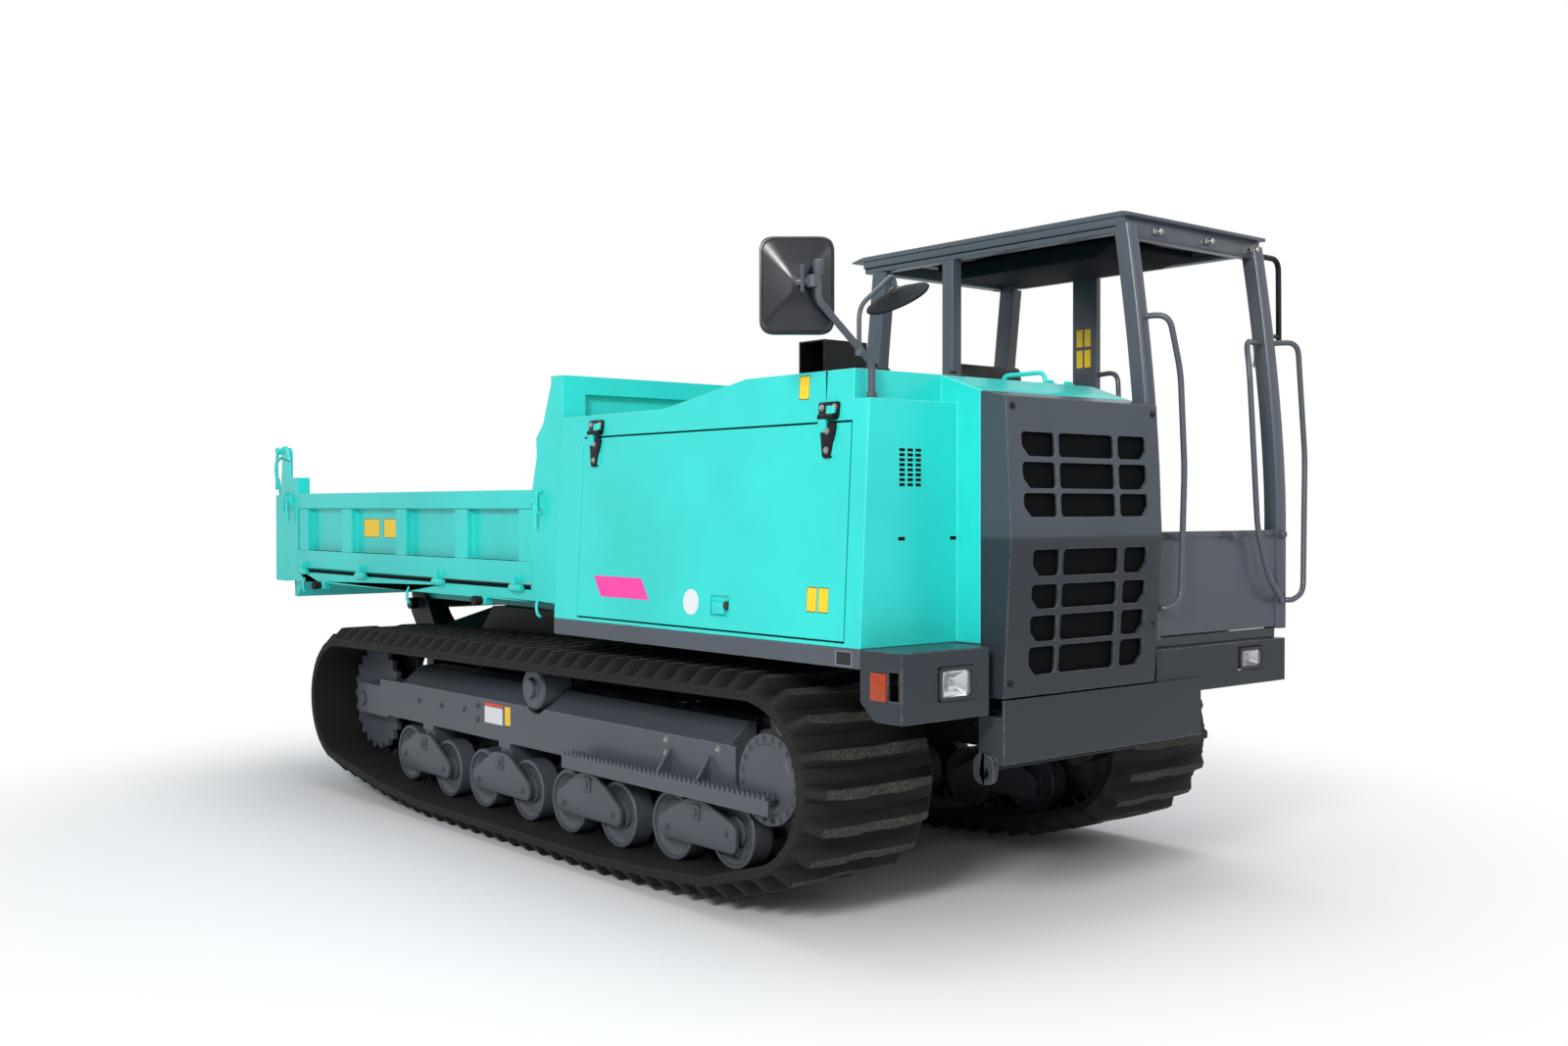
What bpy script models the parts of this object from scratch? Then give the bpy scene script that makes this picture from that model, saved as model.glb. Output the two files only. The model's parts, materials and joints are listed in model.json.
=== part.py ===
"""Tracked dump carrier: a rubber-tracked chassis with an engine hood on the right, an open
operator's canopy on the left and a rear-tipping bed with drop sides and a top-hung tailgate.

Metres. +X is forward, +Y the machine's left, +Z up. The ground is z = 0, the centre line y = 0.
"""
import math

import bmesh
import bpy
from mathutils import Matrix, Vector

# Clearances
GAP = 0.0003            # between pieces that touch
RUN = 0.006             # between a moving piece and its neighbours
PLAY = 0.001            # round a pin in its bore

# Tracks
TRACK_OFFSET = 0.80     # centre line of a track from the machine's centre line
TRACK_WIDTH = 0.60
BELT = 0.035            # thickness of the rubber belt
LUG_HEIGHT = 0.055
LUG_PITCH = 0.112
LUG_FOOT = 0.066        # length of a lug where it leaves the belt
LUG_TIP = 0.036         # length of a lug at its tip
GUIDE_WIDTH = 0.09      # lane of the guide blocks inside the belt
GUIDE_HEIGHT = 0.042
SPROCKET_X = 1.715
SPROCKET_Z = 0.49
SPROCKET_RADIUS = 0.28  # inner face of the belt round the sprocket
SPROCKET_WIDTH = 0.05
IDLER_X = -1.53
IDLER_Z = 0.46
IDLER_RADIUS = 0.27
IDLER_AXLE = 0.035
BELT_SEGMENTS = 28      # flats of the belt's inner face round a wheel

# Track rollers: distance along the track, and lift of the belt over the flat run
ROLLER_RADIUS = 0.13
ROLLER_HUB = 0.045
ROLLER_RIM = 0.085      # width of one rim
RIM_SPACE = 0.13        # between the two rims of a roller, round the guide blocks
ROLLERS = (
    (-1.02, 0.028), (-0.64, 0.0), (-0.31, 0.0), (0.07, 0.0),
    (0.395, 0.0), (0.753, 0.0), (1.115, 0.016), (1.475, 0.045),
)
BOGIE_PLATE = 0.018
BOGIE_EYE_Z = 0.315     # pivot of a bogie on the track frame
PIVOT_PIN = 0.022
CARRIER_X = 0.14
CARRIER_RADIUS = 0.09
CARRIER_WIDTH = 0.17

# Track frames
FRAME_HALF = 0.155      # half the width of a track frame
FRAME_FRONT = 1.50
FRAME_REAR = -1.34
FRAME_BOTTOM = 0.37
FRAME_SIDE_TOP = 0.575
FRAME_TOP = 0.655
FRAME_ARM = 0.03        # thickness of the plates that hold the idler and the final drive
DRIVE_RADIUS = 0.16     # final drive cover
DRIVE_FACE = 0.19       # its outer face from the track's centre line
STEP_REAR = 0.49
STEP_FRONT = 1.79
STEP_Z = 0.435          # top of the side step
STEP_OUT = 0.09         # how far it stands out from the track frame

# Chassis
RAIL_OFFSET = 0.31      # centre line of a chassis rail
RAIL_WIDTH = 0.12
RAIL_BOTTOM = 0.595    # 5 mm into the beams that the rails rest on
RAIL_TOP = 0.915
RAIL_REAR = -1.97
RAIL_FRONT = 2.27
BEAM_BOTTOM = 0.42
BEAM_TOP = 0.60
CROSS_BOTTOM = 0.525
CROSS_MEMBERS = (-1.85, -1.30, 0.60, 1.45, 2.19)
NOSE_BEAM = (0.68, 0.743)  # lowest and highest z of the stubs that carry the low panel
BEAM_LENGTH = 0.22
BEAMS = (-0.75, 0.95)   # cross beams that carry the track frames
BRACKET = 0.025         # plates that hold the tipping pivot

# Deck, bumpers and panels
DECK_HALF = 1.08        # right edge of the deck, and of the hood on it
DECK_TOP = 0.981
DECK_BOTTOM = 0.919
DECK_REAR = 0.493
HOOD_FRONT = 2.281      # front face of the hood's wing
BUMPER_REACH = 0.185    # how far the bumpers stand out before it
BUMPER_FRONT = HOOD_FRONT + BUMPER_REACH
BUMPER_BOTTOM = 0.763
HOOD_INNER = 0.647      # where the hood's wing meets its middle
BUMPER_INNER = HOOD_INNER + 0.046
BUMPER_TOP = 0.982
SKIRT_STEP = 0.011      # how far the low panel between the tracks stands before the bumpers
SKIRT_FRONT = BUMPER_FRONT + SKIRT_STEP
SKIRT_RIGHT = 0.636
SKIRT_LEFT = 0.429
SKIRT_TOP = 0.805
SKIRT_BOTTOM = 0.598
SKIRT_DEPTH = 0.11
LAMP_RIGHT = ((-BUMPER_INNER - 0.232, -BUMPER_INNER - 0.072), (0.822, 0.930))   # y and z of its recess
LAMP_LEFT = ((0.682, 0.842), (0.812, 0.898))

# Engine hood
HOOD_LEFT = 0.14
HOOD_WALL = 0.014
HOOD_LEAN = 0.045       # how far the side leans in over its height
HOOD_LOW = 1.78         # top over the rear
HOOD_HIGH = 1.86        # top over the engine
HOOD_SHELF = 1.764      # small shelf at the front that carries the mirror
HOOD_RISE = (1.18, 1.66)
HOOD_SHELF_X = 2.209
NOSE_REACH = 0.103      # how far the hood's middle stands out before its wing
NOSE_FRONT = HOOD_FRONT + NOSE_REACH
NOSE_TOP = 1.80
DOOR_REAR = 0.66
DOOR_FRONT = 2.20
DOOR_BOTTOM = 1.0
DOOR_TOP = 1.69
DOOR_THICK = 0.022
DOOR_HINGES = (0.75, 2.10)
KNUCKLE = 0.010
DOOR_LATCH = ((1.515, 1.62), (1.046, 1.118))
HANDLE_X = (1.87, 2.085)
HANDLE_Y = 0.03
ENGINE_X = (1.05, 1.85)
ENGINE_Y = (-DECK_HALF + 0.28, -0.25)
ENGINE_TOP = 1.55
RADIATOR_X = (NOSE_FRONT - 0.054, NOSE_FRONT + 0.016)
RADIATOR_Y = (-0.60, 0.09)
RADIATOR_TOP = 1.72
OUTLET_X = (1.735, 1.867)
OUTLET_Y = (-DECK_HALF + 0.22, -DECK_HALF + 0.42)

# Radiator grille: x of its face at three heights
GRILLE_TOP = (NOSE_FRONT + 0.107, 1.777)
GRILLE_CREASE = (NOSE_FRONT + 0.132, 1.326)
GRILLE_BOTTOM = (NOSE_FRONT + 0.101, 0.812)
GRILLE_WALL = 0.012
GRILLE_UPPER = (((-0.578, -0.414), (-0.395, -0.108), (-0.087, 0.070)),     # columns, rows
                ((1.586, 1.664), (1.483, 1.567), (1.391, 1.467)))
GRILLE_LOWER = (((-0.535, -0.404), (-0.385, -0.098), (-0.066, 0.059)),
                ((1.200, 1.285), (1.094, 1.172), (0.988, 1.071), (0.880, 0.970)))
GRILLE_CHAMFER = 0.032  # cut corner low on the outer openings

# Operator's place
FLOOR_TOP = 0.955
FLOOR_RIGHT = 0.165
FLOOR_LEFT = 0.995
CAB_SETBACK = 0.026     # of the front posts from the face of the bumpers
CAB_FRONT = BUMPER_FRONT - CAB_SETBACK
CAB_PANEL_TOP = 1.335
CAB_REAR = 0.98
ROOF_TOP = 2.47
ROOF_FRONT = 2.33
ROOF_REAR = 0.98
ROOF_RIGHT = 0.15
ROOF_LEFT = 1.01
ROOF_DEPTH = 0.06
ROOF_SHEET = 0.008
LINING_REAR = 1.25
LINING_FRONT = 2.15
LINING_DEPTH = 0.15
POST = 0.062
KNEE_Z = 1.64           # where a front post starts to lean back
RAIL_TUBE = 0.0135      # radius of the grab rails
GRAB_FOOT = 1.0         # height at which the right grab rail meets its post
MID_POST_RIGHT = (1.44, 1.50)
MID_POST_LEFT = (1.43, 1.56)
SEAT_Y = (0.36, 0.84)
SEAT_BASE = (1.38, 1.76)
SEAT_CUSHION = ((1.30, 1.28), (1.84, 1.28), (1.86, 1.40), (1.34, 1.37))
SEAT_BACK = ((1.28, 1.33), (1.40, 1.36), (1.30, 1.88), (1.20, 1.86))
CONSOLE_Y = (0.40, 0.80)
CONSOLE_TOP = ((2.36, 1.42), (2.22, 1.50), (2.10, 1.40))
LEVERS = (0.54, 0.66)
LEVER_PATH = ((2.17, 1.40), (2.12, 1.62), (2.14, 1.70))

# Bed
BED_HALF = 1.03
BED_FRONT = 0.480
COLUMN_REAR = 0.242
GATE_REAR = -2.164
TAIL_FRONT = -2.335
TAIL_REAR = -2.465
BED_BOTTOM = 1.03
FLOOR_RAIL_TOP = 1.10
BED_FLOOR = 0.025
GATE_BOTTOM = 1.108
GATE_TOP = 1.495
GATE_PLATE = 0.012
GATE_DEPTH = 0.05
GATE_RIB = 0.11
GATE_RIBS = (-2.10, -1.565, -0.965, -0.375, 0.18)
HEADBOARD_TOP = 1.953
POST_TOP = 1.581
TAIL_HINGE = (-2.362, 1.72)
TAIL_HANDLE = -2.535    # how far back the rod handle of the tailgate reaches
TIP_PIVOT = (-2.10, 0.89)
TIP_PIN = 0.032
SILL_OFFSET = 0.31
SILL_WIDTH = 0.054
ROPE_HOOKS = (-2.06, -0.86, 0.306)
GATE_RESTS = (-1.85, -0.165)
POST_LATCHES = ((-2.265, 1.46), (0.30, 1.45))
GATE_HINGES = (-2.06, -1.36, -0.55, 0.14)
GATE_AXIS = (BED_HALF + 0.015, GATE_BOTTOM - 0.022)
GATE_KNUCKLE = 0.012

# Tipping cylinder: eye on the chassis, eye on the bed
RAM_FOOT = (0.223, 0.535)
RAM_EYE = (-1.003, 0.955)
RAM_RADIUS = 0.062
RAM_ROD = 0.034
RAM_WIDTH = 0.07        # across an eye
RAM_FORK = 0.068        # from the centre line to the inner face of a fork plate

# Mirrors and lamps
MIRROR_WIDTH = 0.215
MIRROR_HEIGHT = 0.30
MIRROR_FOOT = (2.245, -DECK_HALF + 0.084)
MIRROR_TOP = (2.245, -DECK_HALF - 0.139)
MIRROR_PLACE = (2.180, -DECK_HALF - 0.17, 2.107)
MIRROR_YAW = -0.70      # turns the glass in towards the operator
ROUND_ROD = -DECK_HALF + 0.03
ROUND_PLACE = (2.245, -DECK_HALF + 0.198, 2.086)
ROUND_WAY = (-0.152, -0.398, 0.905)     # way in which the round mirror's back bulges
MIRROR_TUBE = 0.013
MIRROR_OUT = 1.345      # outer edge of the left mirror

SIDES = (("right", -1), ("left", 1))

COLOURS = {             # base colour, roughness, metallic
    "paint_green": ((0.105, 0.80, 0.70, 1), 0.35, 0.0),
    "paint_grey": ((0.095, 0.105, 0.125, 1), 0.42, 0.0),
    "paint_black": ((0.012, 0.012, 0.013, 1), 0.5, 0.0),
    "rubber": ((0.028, 0.026, 0.024, 1), 0.85, 0.0),
    "steel": ((0.30, 0.30, 0.31, 1), 0.35, 1.0),
    "vinyl": ((0.02, 0.02, 0.022, 1), 0.6, 0.0),
    "glass": ((0.75, 0.78, 0.80, 1), 0.1, 0.0),
}


# Shapes

def closed(vertices, faces):
    """Mesh of one closed shape whose faces point out."""
    mesh = bpy.data.meshes.new("shape")
    mesh.from_pydata(vertices, [], faces)
    work = bmesh.new()
    work.from_mesh(mesh)
    bmesh.ops.recalc_face_normals(work, faces=work.faces)
    work.to_mesh(mesh)
    work.free()
    return mesh


def prism(outline, axis, low, high):
    """Extrude an outline along an axis; its points are the other two coordinates in order."""
    first, second, third = {"X": (1, 2, 0), "Y": (0, 2, 1), "Z": (0, 1, 2)}[axis]
    vertices = []
    for level in (low, high):
        for u, v in outline:
            point = [0.0, 0.0, 0.0]
            point[first], point[second], point[third] = u, v, level
            vertices.append(point)
    n = len(outline)
    faces = [list(range(n)), list(range(n, 2 * n))]
    faces += [[i, (i + 1) % n, n + (i + 1) % n, n + i] for i in range(n)]
    return closed(vertices, faces)


def box(x, y, z):
    """Block between two values of each coordinate."""
    return prism([(x[0], z[0]), (x[1], z[0]), (x[1], z[1]), (x[0], z[1])], "Y", min(y), max(y))


def circle(centre, radius, count, turn=0.5):
    """Points round a circle, starting part of a step from the first axis."""
    angles = [2 * math.pi * (i + turn) / count for i in range(count)]
    return [(centre[0] + radius * math.cos(a), centre[1] + radius * math.sin(a)) for a in angles]


def disc(centre, radius, axis, low, high, count=16):
    """Round bar along an axis."""
    return prism(circle(centre, radius, count), axis, low, high)


def rounded(outline, radius, steps=3):
    """Outline with its corners turned into arcs."""
    points = []
    n = len(outline)
    for i in range(n):
        before, corner, after = (Vector(outline[(i + k) % n]) for k in (-1, 0, 1))
        start, end = (before - corner).normalized(), (after - corner).normalized()
        opening = start.angle(end)
        reach = min(radius / math.tan(opening / 2),
                    0.45 * (before - corner).length, 0.45 * (after - corner).length)
        for k in range(steps + 1):
            t = k / steps
            points.append(tuple(corner + start * reach * (1 - t) ** 2 + end * reach * t ** 2))
    return points


def turned(profile, centre, count=16):
    """Turn a (radius, y) profile about a line along Y through (x, z), with flat ends."""
    vertices = []
    for radius, along in profile:
        vertices += [(x, along, z) for x, z in circle(centre, radius, count)]
    last = len(vertices) - count
    faces = [list(range(count)), list(range(last, last + count))]
    for ring in range(0, last, count):
        for i in range(count):
            a, b = ring + i, ring + (i + 1) % count
            faces.append([a, b, b + count, a + count])
    return closed(vertices, faces)


def bends(points, radius, steps):
    """Path through points, its corners rounded to a radius."""
    path = [points[0]]
    for before, corner, after in zip(points, points[1:], points[2:]):
        start, end = (before - corner), (after - corner)
        reach = min(radius, 0.45 * start.length, 0.45 * end.length)
        start, end = start.normalized(), end.normalized()
        for k in range(steps + 1):
            t = k / steps
            path.append(corner + start * reach * (1 - t) ** 2 + end * reach * t ** 2)
    return path + [points[-1]]


def tube(points, radius, bend=0.05, steps=2, count=6):
    """Round tube along a bent path, closed at its ends."""
    path = bends([Vector(p) for p in points], bend, steps)
    side = (path[1] - path[0]).orthogonal().normalized()
    vertices, faces = [], []
    for i, point in enumerate(path):
        along = (path[min(i + 1, len(path) - 1)] - path[max(i - 1, 0)]).normalized()
        side = (side - along * side.dot(along)).normalized()
        other = along.cross(side)
        for k in range(count):
            angle = 2 * math.pi * k / count
            vertices.append(point + radius * (side * math.cos(angle) + other * math.sin(angle)))
    for i in range(len(path) - 1):
        for k in range(count):
            a, b = i * count + k, i * count + (k + 1) % count
            faces.append([a, b, b + count, a + count])
    faces += [list(range(count)), list(range(len(vertices) - count, len(vertices)))]
    return closed(vertices, faces)


def strip(path, width):
    """Outline of a bar of one width along a flat path."""
    points = [Vector(p) for p in path]
    left, right = [], []
    for i, point in enumerate(points):
        along = (points[min(i + 1, len(points) - 1)] - points[max(i - 1, 0)]).normalized()
        across = Vector((-along.y, along.x)) * width / 2
        left.append(tuple(point + across))
        right.append(tuple(point - across))
    return left + right[::-1]


def moved(mesh, x=0.0, y=0.0, z=0.0):
    """The same mesh, set off by a distance."""
    mesh.transform(Matrix.Translation((x, y, z)))
    return mesh


def mirrored(mesh):
    """The same mesh on the other side of the centre line."""
    mesh.transform(Matrix.Scale(-1, 4, (0, 1, 0)))
    mesh.flip_normals()
    return mesh


def fused(shapes, cuts=()):
    """One body out of shapes that run into each other, less the cuts."""
    base = bpy.data.objects.new("base", shapes[0])
    bpy.context.scene.collection.objects.link(base)
    groups = []
    for operation, tools in (("UNION", shapes[1:]), ("DIFFERENCE", list(cuts))):
        if not tools:
            continue
        group = bpy.data.collections.new("tools")
        bpy.context.scene.collection.children.link(group)
        for mesh in tools:
            group.objects.link(bpy.data.objects.new("tool", mesh))
        modifier = base.modifiers.new(operation, "BOOLEAN")
        modifier.operation = operation
        modifier.operand_type = "COLLECTION"
        modifier.collection = group
        modifier.solver = "EXACT"
        groups.append(group)
    graph = bpy.context.evaluated_depsgraph_get()
    result = bpy.data.meshes.new_from_object(base.evaluated_get(graph))
    for group in groups:
        for tool in list(group.objects):
            bpy.data.objects.remove(tool)
        bpy.data.collections.remove(group)
    bpy.data.objects.remove(base)
    work = bmesh.new()
    work.from_mesh(result)
    bmesh.ops.remove_doubles(work, verts=work.verts, dist=1e-5)
    bmesh.ops.dissolve_limit(work, angle_limit=0.0005, verts=work.verts, edges=work.edges)
    bmesh.ops.triangulate(work, faces=work.faces)
    work.to_mesh(result)
    work.free()
    return result


def material(name):
    """Painted, rubber or metal surface by its name."""
    if name in bpy.data.materials:
        return bpy.data.materials[name]
    colour, roughness, metallic = COLOURS[name]
    result = bpy.data.materials.new(name)
    result.use_nodes = True
    shader = result.node_tree.nodes["Principled BSDF"]
    shader.inputs["Base Color"].default_value = colour
    shader.inputs["Roughness"].default_value = roughness
    shader.inputs["Metallic"].default_value = metallic
    return result


def piece(name, mesh, finish, parent=None):
    """Named object of one body; a moving one hangs on the empty of its joint."""
    mesh.name = name
    mesh.materials.clear()
    mesh.materials.append(material(finish))
    mesh.shade_smooth()
    mesh.set_sharp_from_angle(angle=math.radians(35))
    result = bpy.data.objects.new(name, mesh)
    bpy.context.scene.collection.objects.link(result)
    if parent is not None:
        result.parent = parent
        result.matrix_parent_inverse = Matrix.Translation(parent["place"]).inverted()
    return result


def joint(name, place, parent=None):
    """Empty on a joint's axis."""
    empty = bpy.data.objects.new(name, None)
    bpy.context.scene.collection.objects.link(empty)
    empty["place"] = place
    empty.location = place
    if parent is not None:
        empty.parent = parent
        empty.matrix_parent_inverse = Matrix.Translation(parent["place"]).inverted()
    return empty


# Tracks

def roller_bottom(lift):
    """Height of a roller's lowest point over the ground."""
    return BELT + LUG_HEIGHT + lift


def top_line(x):
    """Height of the belt's inner face over a point of the upper run."""
    share = (x - IDLER_X) / (SPROCKET_X - IDLER_X)
    rear, front = IDLER_Z + IDLER_RADIUS, SPROCKET_Z + SPROCKET_RADIUS
    return rear + share * (front - rear)


def belt_loop():
    """Inner face of the belt in the (x, z) plane: the tight loop round its wheels."""
    wheels = [(SPROCKET_X, SPROCKET_Z, SPROCKET_RADIUS), (IDLER_X, IDLER_Z, IDLER_RADIUS)]
    wheels += [(x, roller_bottom(lift) + ROLLER_RADIUS, ROLLER_RADIUS) for x, lift in ROLLERS]
    outer = 1 / math.cos(math.pi / BELT_SEGMENTS)
    points = [p for x, z, r in wheels for p in circle((x, z), (r + GAP) * outer, BELT_SEGMENTS)]
    points = sorted(set(points))
    loop = []
    for run in (points, points[::-1]):
        half = []
        for p in run:
            while len(half) > 1 and cross(half[-2], half[-1], p) <= 1e-9:
                half.pop()
            half.append(p)
        loop += half[:-1]
    return [Vector(p) for p in loop]


def cross(a, b, c):
    """Twice the area of the triangle through three points, positive when it turns left."""
    return (b[0] - a[0]) * (c[1] - a[1]) - (b[1] - a[1]) * (c[0] - a[0])


class Loop:
    """Closed path that can be read at any distance along it."""

    def __init__(self, points):
        self.points = points
        self.ends = points[1:] + points[:1]
        self.lengths = [(b - a).length for a, b in zip(points, self.ends)]
        self.length = sum(self.lengths)

    def at(self, distance, height):
        """Point at a distance along the loop and a height over it, and the way it runs."""
        distance %= self.length
        for a, b, length in zip(self.points, self.ends, self.lengths):
            if distance <= length:
                break
            distance -= length
        along = (b - a).normalized()
        return a + along * distance + Vector((along.y, -along.x)) * height, along


def track():
    """Rubber track on the centre line: belt and lugs in one loop."""
    loop = Loop(belt_loop())
    lugs = round(loop.length / LUG_PITCH)
    pitch = loop.length / lugs
    outline = []
    for i in range(lugs):
        middle = i * pitch
        for shift, height in ((-LUG_FOOT / 2, BELT), (-LUG_TIP / 2, BELT + LUG_HEIGHT),
                              (LUG_TIP / 2, BELT + LUG_HEIGHT), (LUG_FOOT / 2, BELT)):
            outline.append(tuple(loop.at(middle + shift, height)[0]))
    half = TRACK_WIDTH / 2
    belt = prism(outline, "Y", -half, half)
    inside = prism([tuple(p) for p in loop.points], "Y", -TRACK_WIDTH, TRACK_WIDTH)
    return fused([belt], [inside])


def toothed(centre, radius, teeth):
    """Outline of a star-toothed plate."""
    root = radius - GUIDE_HEIGHT
    points = []
    for i in range(teeth):
        for shift, reach in ((0.0, root), (0.30, radius), (0.45, radius), (0.75, root)):
            angle = 2 * math.pi * (i + shift) / teeth
            points.append((centre[0] + reach * math.cos(angle), centre[1] + reach * math.sin(angle)))
    return points


def drive_wheel():
    """Front sprocket with its toothed plates and the final drive that turns it."""
    centre = (SPROCKET_X, SPROCKET_Z)
    reach = SPROCKET_RADIUS - RUN
    teeth = prism(toothed(centre, reach, 14), "Y", -SPROCKET_WIDTH / 2, SPROCKET_WIDTH / 2)
    face = -DRIVE_FACE
    hub = turned([(0.12, FRAME_HALF - FRAME_ARM - GAP), (0.12, face + 0.04), (DRIVE_RADIUS, face + 0.03),
                  (DRIVE_RADIUS, face + 0.012), (DRIVE_RADIUS - 0.02, face)], centre, 20)
    return fused([hub, teeth])


def idler_wheel():
    """Rear idler: toothed plates on a hub, with the axle that its fork holds."""
    centre = (IDLER_X, IDLER_Z)
    reach = IDLER_RADIUS - RUN
    plate = GUIDE_WIDTH / 2 + RUN
    teeth = [prism(toothed(centre, reach, 12), "Y", -plate - 0.03, -plate),
             disc(centre, reach - GUIDE_HEIGHT, "Y", plate, plate + 0.03, 20)]
    hub = disc(centre, 0.09, "Y", -0.105, 0.105)
    end = FRAME_HALF + 0.01
    axle = disc(centre, IDLER_AXLE, "Y", -end, end, 12)
    return fused([hub, axle] + teeth)


def bogie(rear, front):
    """Two twin-rimmed rollers between side plates that rock on one pin."""
    middle = (rear[0] + front[0]) / 2
    rim = RIM_SPACE / 2 + ROLLER_RIM
    plate_in = rim + 0.008
    plate_out = plate_in + BOGIE_PLATE
    seat = plate_in + BOGIE_PLATE / 2
    shapes = []
    axle_z = []
    for x, lift in (rear, front):
        z = roller_bottom(lift) + ROLLER_RADIUS
        axle_z.append(z)
        shapes.append(turned([
            (ROLLER_RADIUS - 0.022, -rim + 0.02), (ROLLER_RADIUS - 0.012, -rim),
            (ROLLER_RADIUS, -rim), (ROLLER_RADIUS, -RIM_SPACE / 2), (ROLLER_HUB, -RIM_SPACE / 2),
            (ROLLER_HUB, RIM_SPACE / 2), (ROLLER_RADIUS, RIM_SPACE / 2), (ROLLER_RADIUS, rim)],
            (x, z), 12))
        shapes.append(disc((x, z), 0.028, "Y", -seat, seat, 6))
    low, high = min(axle_z) - 0.055, BOGIE_EYE_Z + 0.045
    outline = rounded([
        (rear[0] - 0.045, axle_z[0] + 0.03), (rear[0] - 0.02, low), (front[0] + 0.02, low),
        (front[0] + 0.045, axle_z[1] + 0.03), (middle + 0.06, high), (middle - 0.06, high)], 0.03, 1)
    for side in (-1, 1):
        shapes.append(prism(outline, "Y", side * plate_in, side * plate_out))
    shapes.append(disc((middle, BOGIE_EYE_Z), PIVOT_PIN, "Y", -seat, seat, 10))
    shapes.append(box((middle - 0.026, middle + 0.026), (-plate_out - 0.006, -plate_out + 0.004),
                      (BOGIE_EYE_Z - 0.03, BOGIE_EYE_Z + 0.03)))
    return fused(shapes)


def track_frame():
    """Long box beam of a track with its bogie lugs, idler fork and side step."""
    axle_tops = roller_bottom(max(lift for x, lift in ROLLERS)) + 2 * ROLLER_RADIUS
    arch = axle_tops + RUN
    foot = BOGIE_EYE_Z - PIVOT_PIN - 0.03
    outline = [(FRAME_REAR, 0.40), (FRAME_REAR + 0.12, arch)]
    for rear, front in zip(ROLLERS[::2], ROLLERS[1::2]):
        middle = (rear[0] + front[0]) / 2
        outline += [(middle - 0.05, arch), (middle - 0.034, foot), (middle + 0.034, foot),
                    (middle + 0.05, arch)]
    outline += [(FRAME_FRONT, arch), (FRAME_FRONT, FRAME_SIDE_TOP), (FRAME_REAR, FRAME_SIDE_TOP)]
    lug_half = RIM_SPACE / 2 + ROLLER_RIM - RUN
    side = FRAME_HALF
    beam = prism(outline, "Y", -side, side)
    top = prism([(-side, FRAME_SIDE_TOP - 0.01), (side, FRAME_SIDE_TOP - 0.01), (side, FRAME_SIDE_TOP),
                 (side - 0.09, FRAME_TOP), (-side + 0.09, FRAME_TOP), (-side, FRAME_SIDE_TOP)],
                "X", FRAME_REAR + 0.25, FRAME_FRONT - 0.03)
    arms = []
    for sign in (-1, 1):
        inner, outer = sign * (FRAME_HALF - FRAME_ARM), sign * FRAME_HALF
        arms.append(prism(rounded([
            (IDLER_X - 0.06, IDLER_Z - 0.07), (FRAME_REAR + 0.1, IDLER_Z - 0.07),
            (FRAME_REAR + 0.1, IDLER_Z + 0.08), (IDLER_X - 0.06, IDLER_Z + 0.08)], 0.02, 2),
            "Y", min(inner, outer), max(inner, outer)))
    drive_plate = prism([(FRAME_FRONT - 0.1, arch), (SPROCKET_X - 0.09, arch + 0.01),
                         (SPROCKET_X, SPROCKET_Z - 0.13),
                         (SPROCKET_X + 0.10, SPROCKET_Z - 0.08), (SPROCKET_X + 0.10, SPROCKET_Z + 0.08),
                         (SPROCKET_X, SPROCKET_Z + 0.13), (FRAME_FRONT - 0.1, FRAME_SIDE_TOP)],
                        "Y", FRAME_HALF - FRAME_ARM, FRAME_HALF)
    step = side_step()
    cuts = []
    for rear, front in zip(ROLLERS[::2], ROLLERS[1::2]):
        middle = (rear[0] + front[0]) / 2
        cuts.append(disc((middle, BOGIE_EYE_Z), PIVOT_PIN + PLAY, "Y", -1, 1, 10))
        plate_low = [(middle - 0.3, 0), (middle + 0.3, 0), (middle + 0.3, BOGIE_EYE_Z + 0.06),
                     (middle - 0.3, BOGIE_EYE_Z + 0.06)]
        for sign in (-1, 1):
            cuts.append(prism(plate_low, "Y", *sorted((sign * lug_half, sign * 0.5))))
    cuts.append(disc((IDLER_X, IDLER_Z), IDLER_AXLE + PLAY, "Y", -1, 1, 12))
    fork = FRAME_HALF - FRAME_ARM
    cuts.append(box((IDLER_X - 0.5, IDLER_X + IDLER_RADIUS + RUN), (-fork, fork), (0, 1)))
    cuts.append(box((SPROCKET_X - SPROCKET_RADIUS - RUN, SPROCKET_X),
                    (-SPROCKET_WIDTH / 2 - RUN, SPROCKET_WIDTH / 2 + RUN), (0, 1)))
    roller_z = top_line(CARRIER_X) - CARRIER_RADIUS - GAP
    pocket = CARRIER_RADIUS + 0.02
    cuts.append(box((CARRIER_X - pocket, CARRIER_X + pocket), (-0.5, 0.5), (roller_z, 1)))
    cuts.append(disc((CARRIER_X, roller_z), pocket, "Y", -0.5, 0.0))
    body = fused([beam, top, drive_plate] + arms, cuts)
    carrier = turned([(0.03, 0.06), (0.03, -CARRIER_WIDTH + 0.14),
                      (CARRIER_RADIUS, -CARRIER_WIDTH + 0.14), (CARRIER_RADIUS, -CARRIER_WIDTH + 0.01),
                      (CARRIER_RADIUS - 0.012, -CARRIER_WIDTH), (0.045, -CARRIER_WIDTH),
                      (0.04, -CARRIER_WIDTH - 0.02)], (CARRIER_X, roller_z), 28)
    holder = box((CARRIER_X - 0.04, CARRIER_X + 0.04), (0.02, 0.08), (FRAME_BOTTOM, roller_z + 0.04))
    return fused([body, carrier, holder] + step)


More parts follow.
